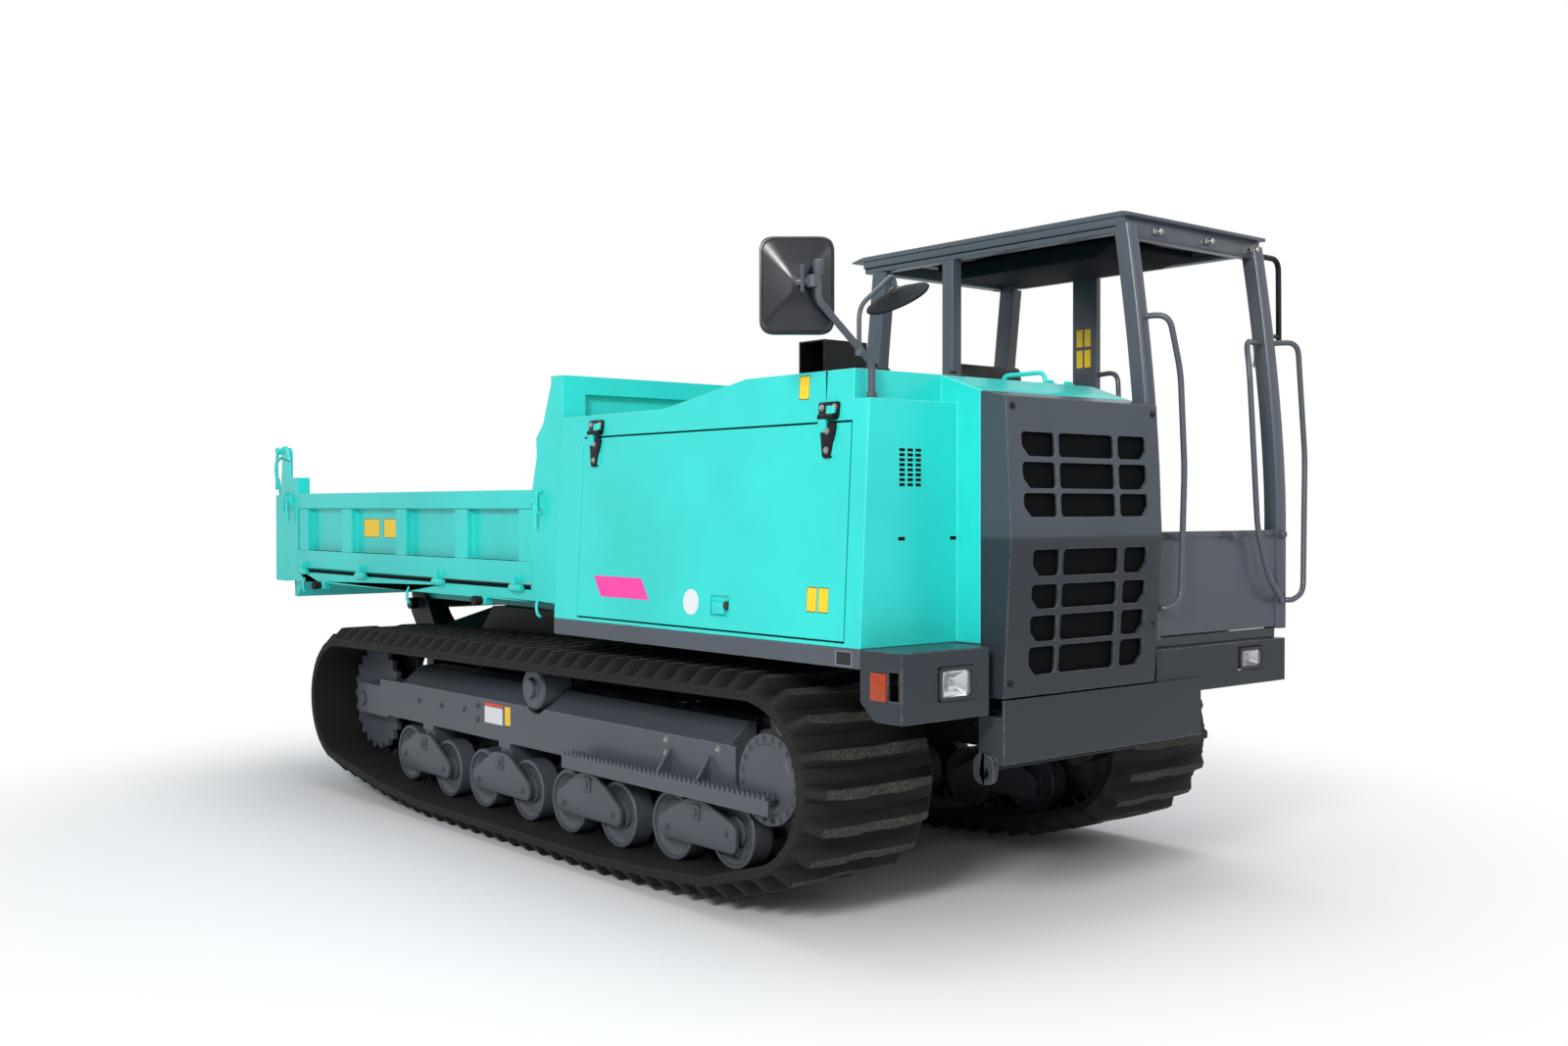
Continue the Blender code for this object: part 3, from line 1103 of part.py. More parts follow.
def ram_rod():
    """Rod of the tipping cylinder with the eye that takes the bed's pin."""
    length = ram_frame()[2]
    rod = along_ram(0.11, length - 0.02, RAM_ROD)
    eye = disc(RAM_EYE, 0.045, "Y", -RAM_WIDTH / 2, RAM_WIDTH / 2)
    return fused([rod, eye], [disc(RAM_EYE, 0.021, "Y", -1, 1)])


# Mirrors

def mirror_case(width, height, corner, levels):
    """Mirror case that faces -X at the origin; levels are pairs of depth and share of the outline."""
    outline = rounded([(-width / 2, -height / 2), (width / 2, -height / 2), (width / 2, height / 2),
                       (-width / 2, height / 2)], corner, 3)
    n = len(outline)
    vertices = [(depth, y * share, z * share) for depth, share in levels for y, z in outline]
    last = len(vertices) - n
    faces = [list(range(n)), list(range(last, last + n))]
    for a in range(0, last, n):
        faces += [[a + i, a + (i + 1) % n, a + n + (i + 1) % n, a + n + i] for i in range(n)]
    return closed(vertices, faces)


def mirror_right():
    """Large mirror on a bent arm that stands on the hood's shelf, and a round one on a rod."""
    foot = (*MIRROR_FOOT, HOOD_SHELF + GAP)
    top = MIRROR_TOP
    arm = tube([foot, (foot[0], foot[1], foot[2] + 0.11), (*top, 2.052), (*top, 2.16)], MIRROR_TUBE)
    case = mirror_case(MIRROR_WIDTH, MIRROR_HEIGHT, 0.045,
                       ((-0.010, 0.96), (-0.004, 1.0), (0.006, 1.0), (0.012, 0.95), (0.048, 0.16)))
    case.transform(Matrix.Translation(MIRROR_PLACE) @ Matrix.Rotation(MIRROR_YAW, 4, "Z"))
    stem = tube([(*top, 2.11), (MIRROR_PLACE[0] + 0.03, MIRROR_PLACE[1] - 0.02, 2.11)], 0.012)
    base = disc((foot[0], foot[1]), 0.03, "Z", HOOD_SHELF + GAP, HOOD_SHELF + 0.012)
    rod = tube([(foot[0], ROUND_ROD, 1.905), (foot[0], ROUND_ROD, 2.047),
                (foot[0], ROUND_PLACE[1] - 0.02, 2.163),
                (ROUND_PLACE[0], ROUND_PLACE[1] - 0.008, ROUND_PLACE[2] + 0.018)], 0.007, 0.03)
    dome = turned([(0.098, -0.004), (0.100, 0.0), (0.098, 0.004), (0.06, 0.020), (0.02, 0.028)],
                  (0.0, 0.0), 20)
    turn = Vector(ROUND_WAY).to_track_quat("Y", "X").to_matrix().to_4x4()
    dome.transform(Matrix.Translation(ROUND_PLACE) @ turn)
    return fused([arm, case, stem, base, rod, dome])


def mirror_left():
    """Tall mirror on an arm from the roof's front corner."""
    start = (ROOF_FRONT - 0.10, ROOF_LEFT + GAP, ROOF_TOP - 0.03)
    low, high = 1.997, 2.229
    middle = MIRROR_OUT - 0.03
    arm = tube([start, (start[0], middle, start[2]), (start[0], middle + 0.005, 2.10)], MIRROR_TUBE)
    case = rounded([(MIRROR_OUT - 0.18, low), (MIRROR_OUT, low), (MIRROR_OUT, high),
                    (MIRROR_OUT - 0.18, high)], 0.04, 3)
    return fused([arm, prism(case, "X", start[0] - 0.02, start[0] + 0.025)])


def exhaust_duct():
    """Air outlet box on the hood, open to the right."""
    x, y, z = OUTLET_X, OUTLET_Y, (HOOD_HIGH + GAP, HOOD_HIGH + 0.132)
    inside = box((x[0] + 0.006, x[1] - 0.006), (y[0] - 0.05, y[1] - 0.006), (z[0] + 0.006, z[1] - 0.006))
    return fused([box(x, y, z)], [inside])


def clear_scene():
    """Remove the objects that the file starts with."""
    for item in list(bpy.data.objects):
        bpy.data.objects.remove(item)


def main():
    clear_scene()
    tip = joint("bed_axis", (TIP_PIVOT[0], 0.0, TIP_PIVOT[1]))
    gate_right = joint("gate_right_axis", (GATE_REAR, -GATE_AXIS[0], GATE_AXIS[1]), tip)
    gate_left = joint("gate_left_axis", (GATE_REAR, GATE_AXIS[0], GATE_AXIS[1]), tip)
    tail = joint("tailgate_axis", (TAIL_HINGE[0], 0.0, TAIL_HINGE[1]), tip)
    door = joint("door_axis", door_hinge_place())
    barrel = joint("cylinder_axis", (RAM_FOOT[0], 0.0, RAM_FOOT[1]))
    rod = joint("rod_axis", (RAM_EYE[0], 0.0, RAM_EYE[1]), barrel)

    for name, side in SIDES:
        def placed(mesh):
            shape = mirrored(mesh) if side > 0 else mesh
            return moved(shape, y=side * TRACK_OFFSET)
        piece(f"track_{name}", placed(track()), "rubber")
        piece(f"track_frame_{name}", placed(track_frame()), "paint_grey")
        piece(f"drive_sprocket_{name}", placed(drive_wheel()), "paint_grey")
        piece(f"idler_{name}", placed(idler_wheel()), "paint_grey")
        for i, pair in enumerate(zip(ROLLERS[::2], ROLLERS[1::2]), start=1):
            piece(f"bogie_{name}_{i}", placed(bogie(*pair)), "paint_grey")

    piece("chassis_frame", chassis(), "paint_black")
    piece("deck", deck(), "paint_grey")
    piece("bumper_right", bumper_right(), "paint_grey")
    piece("bumper_left", bumper_left(), "paint_grey")
    piece("front_skirt", skirt(), "paint_grey")
    piece("hood_shell", hood_shell(), "paint_green")
    piece("hood_door", hood_door(), "paint_green", door)
    piece("grille", grille(), "paint_grey")
    piece("radiator", box(RADIATOR_X, RADIATOR_Y, (DECK_TOP + GAP, RADIATOR_TOP)), "paint_black")
    piece("engine_block", box(ENGINE_X, ENGINE_Y, (DECK_TOP + GAP, ENGINE_TOP)), "steel")
    piece("air_outlet", exhaust_duct(), "paint_grey")
    piece("canopy_frame", canopy_frame(), "paint_grey")
    piece("roof_panel", roof_panel(), "paint_grey")
    piece("roof_lining", roof_lining(), "vinyl")
    piece("cab_front_panel", cab_panel(), "paint_grey")
    piece("seat", seat(), "vinyl")
    piece("console", console(), "vinyl")
    piece("mirror_right", mirror_right(), "paint_black")
    piece("mirror_left", mirror_left(), "paint_black")
    for name, (y, z) in (("right", LAMP_RIGHT), ("left", LAMP_LEFT)):
        piece(f"headlamp_{name}", box((BUMPER_FRONT - 0.049, BUMPER_FRONT + 0.006),
                                      (y[0] + 0.001, y[1] - 0.001), (z[0] + 0.0005, z[1] - 0.0005)), "glass")
    piece("bed_body", bed_body(), "paint_green", tip)
    piece("side_gate_right", side_gate(), "paint_green", gate_right)
    piece("side_gate_left", mirrored(side_gate()), "paint_green", gate_left)
    piece("tailgate", tailgate(), "paint_green", tail)
    piece("cylinder_barrel", ram_barrel(), "paint_black", barrel)
    piece("cylinder_rod", ram_rod(), "steel", rod)


main()
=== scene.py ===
"""Looks of a tracked dump carrier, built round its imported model.

Metres; +X is forward, +Y the machine's left, +Z up, as in the model.
"""
from __future__ import annotations

import json
import logging
import math
from collections.abc import Iterable, Sequence
from dataclasses import dataclass, field
from enum import Enum

import bmesh
import bpy
from mathutils import Matrix, Vector

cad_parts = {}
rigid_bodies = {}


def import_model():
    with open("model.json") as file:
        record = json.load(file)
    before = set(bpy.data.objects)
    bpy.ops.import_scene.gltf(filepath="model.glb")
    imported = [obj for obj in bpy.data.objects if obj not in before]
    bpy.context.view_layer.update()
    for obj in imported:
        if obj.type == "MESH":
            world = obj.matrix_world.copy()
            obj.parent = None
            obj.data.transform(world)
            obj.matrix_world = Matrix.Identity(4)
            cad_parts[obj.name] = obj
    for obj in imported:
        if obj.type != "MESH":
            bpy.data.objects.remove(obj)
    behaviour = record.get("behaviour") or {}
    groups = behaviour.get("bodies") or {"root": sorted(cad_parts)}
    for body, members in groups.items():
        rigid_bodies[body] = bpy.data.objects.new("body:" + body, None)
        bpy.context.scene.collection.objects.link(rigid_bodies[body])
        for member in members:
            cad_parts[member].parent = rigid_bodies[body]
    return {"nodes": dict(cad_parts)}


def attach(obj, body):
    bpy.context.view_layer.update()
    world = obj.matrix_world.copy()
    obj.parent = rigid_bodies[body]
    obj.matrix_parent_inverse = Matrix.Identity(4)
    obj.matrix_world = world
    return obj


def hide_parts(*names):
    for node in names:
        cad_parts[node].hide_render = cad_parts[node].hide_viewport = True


log = logging.getLogger("carrier")

Flat = tuple[float, float]
Spot = tuple[float, float, float]
Colour = tuple[float, float, float]
Span = tuple[float, float]

PROUD = 0.0008          # how far a thin piece stands out from the sheet that carries it
KNUCKLE_GAP = 0.0006    # half the gap between the knuckles of a hinge
CREASE = 32.0           # angle in degrees from which an edge stays sharp
CORNER_SHARE = 0.45     # most of an edge that a rounded corner takes
SIGNS = (-1, 1)


class Axis(Enum):
    """Axis of a bar or lathe, with the other two in order."""

    X = (1, 2, 0)
    Y = (0, 2, 1)
    Z = (0, 1, 2)


class Body(str, Enum):
    """Moving groups of the model."""

    CHASSIS = "chassis"
    BED = "bed"
    GATE_RIGHT = "gate_right"
    GATE_LEFT = "gate_left"
    TAILGATE = "tailgate"
    DOOR = "hood_door"


class Slot(str, Enum):
    """Material slots of the record."""

    GREEN = "paint_green"
    GREY = "paint_grey"
    BLACK = "paint_black"
    METAL = "metal_dark"
    RUBBER = "rubber_black"
    PLASTIC = "plastic_black"
    LENS = "lamp_lens"
    CHROME = "rod_chrome"


class Side(Enum):
    """Side of the machine, with the sign of its Y."""

    RIGHT = ("right", -1)
    LEFT = ("left", 1)

    @property
    def label(self) -> str:
        """Word that ends the names of this side's pieces."""
        return self.value[0]

    @property
    def sign(self) -> int:
        """Sign of Y on this side."""
        return self.value[1]


# Shader graphs

class Value:
    """Number socket of a graph, on which Python's operators add Math nodes."""

    def __init__(self, graph: Graph, socket: bpy.types.NodeSocket) -> None:
        """Wrap a socket.

        Args:
            graph: graph that the socket belongs to.
            socket: output that gives the number.
        """
        self.graph = graph
        self.socket = socket

    def __add__(self, other: Value | float) -> Value:
        """Sum."""
        return self.graph.math("ADD", self, other)

    def __mul__(self, other: Value | float) -> Value:
        """Product."""
        return self.graph.math("MULTIPLY", self, other)


class Graph:
    """Material's node tree under construction."""

    def __init__(self, name: str) -> None:
        """Start a material.

        Args:
            name: the material's name.
        """
        self.material = bpy.data.materials.new(name)
        self.material.use_nodes = True
        self.tree = self.material.node_tree
        self.shader = self.tree.nodes["Principled BSDF"]
        self.place = self.node("TexCoord").outputs["Object"]

    def feed(self, socket: bpy.types.NodeSocket, value: object) -> None:
        """Link or set a socket."""
        if isinstance(value, Value):
            value = value.socket
        if isinstance(value, bpy.types.NodeSocket):
            self.tree.links.new(value, socket)
        else:
            socket.default_value = value

    def node(self, kind: str, values: dict | None = None, **settings: str) -> bpy.types.Node:
        """Add a node.

        Args:
            kind: the node's type without the words in front.
            values: numbers or links of its sockets, by name or index.
            settings: its properties, which are set first.

        Returns:
            The node.
        """
        node = self.tree.nodes.new("ShaderNode" + kind)
        for key, setting in settings.items():
            setattr(node, key, setting)
        for key, value in (values or {}).items():
            self.feed(node.inputs[key], value)
        return node

    def math(self, operation: str, first: Value | float, second: Value | float) -> Value:
        """Add a Math node on two values."""
        node = self.node("Math", {0: first, 1: second}, operation=operation)
        return Value(self, node.outputs[0])

    def noise(self, scale: float, detail: float = 3.0,
              stretch: Spot = (1, 1, 1)) -> Value:
        """Noise over the piece.

        Args:
            scale: how many waves a metre.
            detail: finer waves on it.
            stretch: factors along the axes.

        Returns:
            Value from 0 to 1.
        """
        spread = self.node("Mapping", {"Vector": self.place, "Scale": stretch})
        node = self.node("TexNoise", {"Vector": spread.outputs[0], "Scale": scale,
                                      "Detail": detail})
        return Value(self, node.outputs[0])

    def band(self, value: Value, low: float, high: float) -> Value:
        """Smooth step of a value from 0 at low to 1 at high."""
        node = self.node("MapRange", {"Value": value, "From Min": low, "From Max": high},
                         interpolation_type="SMOOTHSTEP")
        return Value(self, node.outputs[0])

    def height(self) -> Value:
        """Height over the ground."""
        node = self.node("SeparateXYZ", {0: self.place})
        return Value(self, node.outputs[2])

    def mark(self, name: str) -> Value:
        """Number stored on the mesh under a name."""
        node = self.node("Attribute", attribute_name=name)
        return Value(self, node.outputs["Fac"])

    def mix(self, share: Value | float, first: object, second: object) -> bpy.types.NodeSocket:
        """Blend two colours."""
        colours = [(*c, 1) if isinstance(c, tuple) else c for c in (first, second)]
        node = self.node("Mix", {0: share, 6: colours[0], 7: colours[1]}, data_type="RGBA")
        return node.outputs[2]

    def bump(self, height: Value, strength: float, depth: float) -> None:
        """Raise the surface by a value.

        Args:
            height: value that rises and falls.
            strength: how strongly it shows.
            depth: full height in metres.
        """
        node = self.node("Bump", {"Height": height, "Strength": strength, "Distance": depth})
        self.feed(self.shader.inputs["Normal"], node.outputs[0])

    def set(self, **values: object) -> None:
        """Set the shader's sockets, named with underscores for blanks."""
        for key, value in values.items():
            self.feed(self.shader.inputs[key.replace("_", " ")], value)


@dataclass(frozen=True)
class Finish:
    """Base of the finishes, with the slot of the record that a finish mostly stands for."""

    name: str
    slot: Slot
    colour: Colour
    roughness: float = 0.5
    metallic: float = 0.0

    def shade(self, factor: float, lift: float = 0.0) -> Colour:
        """Colour times a factor, with a lift."""
        return tuple(c * factor + lift for c in self.colour)

    def material(self) -> bpy.types.Material:
        """Material of this finish, made once."""
        if self.name in bpy.data.materials:
            return bpy.data.materials[self.name]
        graph = Graph(self.name)
        graph.set(Metallic=self.metallic)
        self.dress(graph)
        return graph.material

    def dress(self, graph: Graph) -> None:
        """Build the nodes of the finish."""
        raise NotImplementedError


@dataclass(frozen=True)
class Paint(Finish):
    """Sprayed paint with a fine peel, thin dust low down, paler edges and, where asked, painted
    shade.

    Attributes:
        dust: how strongly dust covers it near the ground.
        coat: weight of its clear coat.
        peel: strength of its peel.
        shine: strength of its mirroring.
        under: factor of its colour below the grille's fold, which is painted shade.
    """

    dust: float = 0.12
    coat: float = 0.35
    peel: float = 0.05
    shine: float = 0.5
    under: float = 1.0

    def dress(self, graph: Graph) -> None:
        """Build the nodes of the finish."""
        cloud = graph.noise(1.6, 4.0)
        fine = graph.noise(38.0, 5.0)
        low = graph.band(graph.height(), 1.25, 0.1)
        dusty = low * graph.band(cloud * 0.6 + fine * 0.4, 0.42, 0.62) * self.dust
        # Painted shade: below the grille's fold, the colour is darkened by the factor under.
        painted_shade_below_fold = graph.band(graph.height(), 1.335, 1.315)
        tone = graph.mix(graph.band(cloud, 0.35, 0.7), self.colour, self.shade(0.88))
        if self.under < 1.0:
            tone = graph.mix(painted_shade_below_fold, tone, self.shade(self.under))
        worn = graph.mark("edge") * graph.band(fine, 0.35, 0.65) * 0.35
        tone = graph.mix(worn, tone, self.shade(0.75, 0.12))
        graph.set(Base_Color=graph.mix(dusty, tone, (0.23, 0.19, 0.14)),
                  Roughness=dusty * 0.5 + fine * 0.06 + (self.roughness - 0.03))
        graph.set(Coat_Weight=self.coat, Coat_Roughness=0.12, Specular_IOR_Level=self.shine)
        graph.bump(graph.noise(210.0, 2.0), self.peel, 0.0006)


@dataclass(frozen=True)
class CastPaint(Paint):
    """Thick paint on cast or rolled steel."""

    def dress(self, graph: Graph) -> None:
        """Build the nodes of the finish."""
        super().dress(graph)
        graph.bump(graph.noise(70.0, 5.0) * 0.7 + graph.noise(320.0) * 0.3, 0.16, 0.0012)


@dataclass(frozen=True)
class Rubber(Finish):
    """Moulded rubber, dusty in patches and scuffed where it meets the ground."""

    def dress(self, graph: Graph) -> None:
        """Build the nodes of the finish."""
        cloud = graph.noise(4.0, 5.0)
        grain = graph.noise(85.0, 6.0)
        speck = graph.noise(260.0, 2.0)
        earth = graph.band(cloud, 0.45, 0.75) * 0.55
        base = graph.mix(earth, self.colour, (0.016, 0.0135, 0.011))
        scuffed = graph.mark("tread") * graph.band(speck * 0.7 + grain * 0.3, 0.40, 0.60)
        graph.set(Specular_IOR_Level=0.25)
        graph.set(Base_Color=graph.mix(scuffed * 0.8, base, (0.10, 0.095, 0.08)),
                  Roughness=grain * 0.2 + (self.roughness - 0.12) + scuffed * 0.15)
        graph.bump(grain * 0.5 + speck * (graph.mark("tread") * 2.2 + 0.25), 0.35, 0.0022)


@dataclass(frozen=True)
class Steel(Finish):
    """Bare or plated steel with fine scratches."""

    def dress(self, graph: Graph) -> None:
        """Build the nodes of the finish."""
        streak = graph.noise(60.0, 4.0, (1.0, 9.0, 1.0))
        cloud = graph.noise(7.0)
        graph.set(Base_Color=graph.mix(cloud * 0.35, self.colour, self.shade(0.6)),
                  Roughness=streak * 0.14 + (self.roughness - 0.07))
        graph.bump(streak, 0.04, 0.0003)


@dataclass(frozen=True)
class Plastic(Finish):
    """Grained plastic or vinyl."""

    grain: float = 0.22

    def dress(self, graph: Graph) -> None:
        """Build the nodes of the finish."""
        cells = graph.node("TexVoronoi", {"Vector": graph.place, "Scale": 520.0})
        cell = Value(graph, cells.outputs["Distance"])
        cloud = graph.noise(5.0)
        graph.set(Base_Color=graph.mix(cloud * 0.3, self.colour, self.shade(1.6, 0.004)),
                  Roughness=cloud * 0.1 + (self.roughness - 0.05))
        graph.bump(cell, self.grain, 0.0008)


@dataclass(frozen=True)
class Clear(Finish):
    """Moulded lens."""

    passing: float = 0.9

    def dress(self, graph: Graph) -> None:
        """Build the nodes of the finish."""
        ribs = graph.noise(30.0, 1.0, (1.0, 7.0, 1.0))
        graph.set(Base_Color=(*self.colour, 1), Roughness=ribs * 0.05 + self.roughness)
        graph.set(Transmission_Weight=self.passing, IOR=1.45)
        graph.bump(ribs, 0.25, 0.002)


@dataclass(frozen=True)
class Label(Finish):
    """Printed film: a field with a border and no words."""

    edge: Colour = (0.03, 0.03, 0.03)

    def dress(self, graph: Graph) -> None:
        """Build the nodes of the finish."""
        cloud = graph.noise(45.0)
        border = graph.mark("border")
        base = graph.mix(cloud * 0.12, self.colour, self.shade(0.7))
        graph.set(Base_Color=graph.mix(border, base, self.edge), Roughness=self.roughness)
        graph.bump(cloud, 0.03, 0.0003)


GREEN = Paint("turquoise paint", Slot.GREEN, (0.022, 0.67, 0.61), 0.34, dust=0.03, coat=0.15,
              shine=0.4)
GREY = Paint("slate paint", Slot.GREY, (0.072, 0.085, 0.105), 0.32, dust=0.05, coat=0.12,
             shine=0.35)
# Painted shade: a darker copy of the slate paint for the front faces, darker still below the
# grille's fold.
SHADED_FRONT_GREY = Paint("slate paint with painted shade at the front", Slot.GREY, (0.060, 0.074, 0.090), 0.3, dust=0.02,
                   coat=0.06, shine=0.2, under=0.5)
DARK = Paint("black paint", Slot.BLACK, (0.004, 0.0045, 0.0055), 0.4, dust=0.03, coat=0.05,
             shine=0.2)
CAST = CastPaint("slate paint on castings", Slot.GREY, (0.070, 0.082, 0.100), 0.42, dust=0.06,
                 coat=0.1, shine=0.3)
RUBBER = Rubber("track rubber", Slot.RUBBER, (0.0105, 0.0100, 0.0090), 0.75)
STEEL = Steel("zinc plated steel", Slot.METAL, (0.42, 0.42, 0.40), 0.36, 1.0)
CHROME = Steel("hard chrome", Slot.CHROME, (0.62, 0.62, 0.63), 0.12, 1.0)
WORN_STEEL = Steel("worn steel", Slot.GREY, (0.20, 0.19, 0.175), 0.50, 0.8)
BLACK_PLASTIC = Plastic("black plastic", Slot.PLASTIC, (0.012, 0.012, 0.014), 0.45)
GLOSS = Plastic("glossy black plastic", Slot.PLASTIC, (0.004, 0.006, 0.010), 0.25, grain=0.03)
VINYL = Plastic("seat vinyl", Slot.PLASTIC, (0.018, 0.018, 0.020), 0.55, grain=0.4)
SCREEN = Paint("radiator core", Slot.METAL, (0.011, 0.015, 0.018), 0.6, dust=0.0, coat=0.0,
               shine=0.05)
LINING = Paint("roof lining", Slot.PLASTIC, (0.006, 0.008, 0.012), 0.6, dust=0.0, coat=0.0,
               shine=0.03)
# Painted shade: near-black sheets put into gaps, seams, slots and recesses where there is only
# shade.
PAINTED_SHADE = Paint("painted shade in gaps", Slot.BLACK, (0.003, 0.0036, 0.0042), 0.7, dust=0.0, coat=0.0, shine=0.05)
LENS = Clear("clear lens", Slot.LENS, (0.93, 0.95, 0.97), 0.04)
AMBER = Clear("amber lens", Slot.LENS, (0.50, 0.055, 0.003), 0.12, passing=0.35)
REFLECTOR = Steel("lamp reflector", Slot.LENS, (0.85, 0.86, 0.88), 0.10, 1.0)
MIRROR = Steel("mirror glass", Slot.PLASTIC, (0.80, 0.83, 0.86), 0.03, 1.0)
YELLOW = Label("yellow film", Slot.GREY, (0.92, 0.60, 0.012), 0.35)
PINK = Label("pink film", Slot.GREEN, (0.90, 0.045, 0.36), 0.35)
WHITE = Label("white film", Slot.GREY, (0.75, 0.76, 0.76), 0.35)
RED = Label("red film", Slot.GREY, (0.70, 0.06, 0.02), 0.35)
PLATE = Label("black plate", Slot.GREY, (0.006, 0.007, 0.008), 0.3, edge=(0.20, 0.22, 0.24))


# Meshes

class Form:
    """Mesh of a piece while it is made, in the machine's frame."""

    def __init__(self) -> None:
        """Start with an empty mesh."""
        self.work = bmesh.new()

    def shell(self, vertices: Iterable[Sequence[float]], faces: Iterable[Sequence[int]]) -> Form:
        """Add one closed shell, its faces turned out.

        Args:
            vertices: its points.
            faces: indices of each face's points.

        Returns:
            This form.
        """
        made = [self.work.verts.new(v) for v in vertices]
        new = [self.work.faces.new([made[i] for i in face]) for face in faces]
        bmesh.ops.recalc_face_normals(self.work, faces=new)
        return self

    def prism(self, outline: Sequence[Flat], axis: Axis, low: float, high: float) -> Form:
        """Extrude an outline along an axis."""
        first, second, third = axis.value
        vertices = []
        for level in (low, high):
            for u, v in outline:
                point = [0.0, 0.0, 0.0]
                point[first], point[second], point[third] = u, v, level
                vertices.append(point)
        n = len(outline)
        faces = [list(range(n)), list(range(n, 2 * n))]
        faces += [[i, (i + 1) % n, n + (i + 1) % n, n + i] for i in range(n)]
        return self.shell(vertices, faces)

    def box(self, x: Span, y: Span, z: Span) -> Form:
        """Add a block between two values of each coordinate."""
        return self.prism([(x[0], z[0]), (x[1], z[0]), (x[1], z[1]), (x[0], z[1])], Axis.Y,
                          min(y), max(y))

    def rings(self, rings: Sequence[Sequence[Sequence[float]]], loop: bool = False) -> Form:
        """Join rings of points, capped at the ends or closed into a loop."""
        count = len(rings[0])
        vertices = [p for ring in rings for p in ring]
        faces = []
        last = len(rings) if loop else len(rings) - 1
        for i in range(last):
            a, b = i * count, (i + 1) % len(rings) * count
            faces += [[a + k, a + (k + 1) % count, b + (k + 1) % count,
                       b + k] for k in range(count)]
        if not loop:
            faces += [list(range(count)), list(range(len(vertices) - count, len(vertices)))]
        return self.shell(vertices, faces)

    def lathe(self, profile: Sequence[Flat], centre: Flat, axis: Axis = Axis.Y,
              count: int = 32) -> Form:
        """Turn a (radius, distance along) profile about a line along an axis."""
        first, second, third = axis.value
        rings = []
        for radius, along in profile:
            ring = []
            for u, v in circle(centre, radius, count):
                point = [0.0, 0.0, 0.0]
                point[first], point[second], point[third] = u, v, along
                ring.append(point)
            rings.append(ring)
        return self.rings(rings)

    def tube(self, points: Sequence[Sequence[float]], radius: float, bend: float = 0.05,
             steps: int = 5, count: int = 14) -> Form:
        """Round tube along a path whose corners are rounded."""
        path = rounded_path([Vector(p) for p in points], bend, steps)
        side = (path[1] - path[0]).orthogonal().normalized()
        rings = []
        for i, point in enumerate(path):
            along = (path[min(i + 1, len(path) - 1)] - path[max(i - 1, 0)]).normalized()
            side = (side - along * side.dot(along)).normalized()
            other = along.cross(side)
            rings.append([point + radius * (side * math.cos(2 * math.pi * k / count)
                                            + other * math.sin(2 * math.pi * k / count))
                          for k in range(count)])
        return self.rings(rings)

    def sweep(self, path: Sequence[Vector], y: float, half: Flat, corner: float) -> Form:
        """Bar with rounded corners along a path in (x, z).

        Args:
            path: its middle line.
            y: its place across the machine.
            half: half its width in the path's plane and across it.
            corner: radius of its corners.

        Returns:
            This form.
        """
        section = rounded_outline(rectangle((-half[0], half[0]), (-half[1], half[1])), corner, 5)
        rings = []
        for i, point in enumerate(path):
            along = (path[min(i + 1, len(path) - 1)] - path[max(i - 1, 0)]).normalized()
            rings.append([(point.x - along.y * u, y + v, point.y + along.x * u) for u,
                          v in section])
        return self.rings(rings)

    def turn(self, matrix: Matrix) -> Form:
        """Move all that was made so far."""
        bmesh.ops.transform(self.work, matrix=matrix, verts=self.work.verts)
        return self

    def bevel(self, width: float, segments: int = 2, angle: float = 30.0) -> Form:
        """Round the edges whose faces meet at more than an angle in degrees."""
        edges = [e for e in self.work.edges if len(e.link_faces) == 2
                 and e.calc_face_angle(0) > math.radians(angle)]
        bmesh.ops.bevel(self.work, geom=edges, offset=width, segments=segments, profile=0.5,
                        affect="EDGES", clamp_overlap=True)
        return self

    def object(self, name: str, crease: float = CREASE) -> bpy.types.Object:
        """Object of the finished mesh, whose edges stay sharp from a crease in degrees."""
        return as_object(name, self.work, crease)

    def piece(self, name: str, finish: Finish, *nodes: str, crease: float = CREASE,
              **place: Body | Slot) -> bpy.types.Object:
        """Finished piece of the mesh.

        Args:
            name: its name.
            finish: its finish.
            nodes: nodes of the model that it stands for.
            crease: angle in degrees from which an edge stays sharp.
            place: body and slot, where they aren't the usual ones.

        Returns:
            The piece.
        """
        return dress(self.object(name, crease), finish, *nodes, **place)


def as_object(name: str, shape: bpy.types.Mesh | bmesh.types.BMesh,
              crease: float = CREASE) -> bpy.types.Object:
    """Put a mesh in the scene, smooth but for its sharp edges."""
    mesh = shape
    if isinstance(shape, bmesh.types.BMesh):
        mesh = bpy.data.meshes.new(name)
        shape.to_mesh(mesh)
        shape.free()
    mesh.shade_smooth()
    mesh.set_sharp_from_angle(angle=math.radians(crease))
    made = bpy.data.objects.new(name, mesh)
    bpy.context.scene.collection.objects.link(made)
    return made


def rounded_corner(before: Vector, corner: Vector, after: Vector, radius: float,
                   steps: int) -> list[Vector]:
    """Points of the arc that takes a corner's place between its neighbours."""
    start, end = before - corner, after - corner
    reach = min(radius, CORNER_SHARE * start.length, CORNER_SHARE * end.length)
    start, end = start.normalized(), end.normalized()
    return [corner + start * reach * (1 - t) ** 2 + end * reach * t ** 2
            for t in (k / steps for k in range(steps + 1))]


def rounded_path(points: Sequence[Vector], radius: float, steps: int) -> list[Vector]:
    """Path through points with its corners rounded."""
    path = [points[0]]
    for corner in zip(points, points[1:], points[2:]):
        path += rounded_corner(*corner, radius, steps)
    return path + [points[-1]]


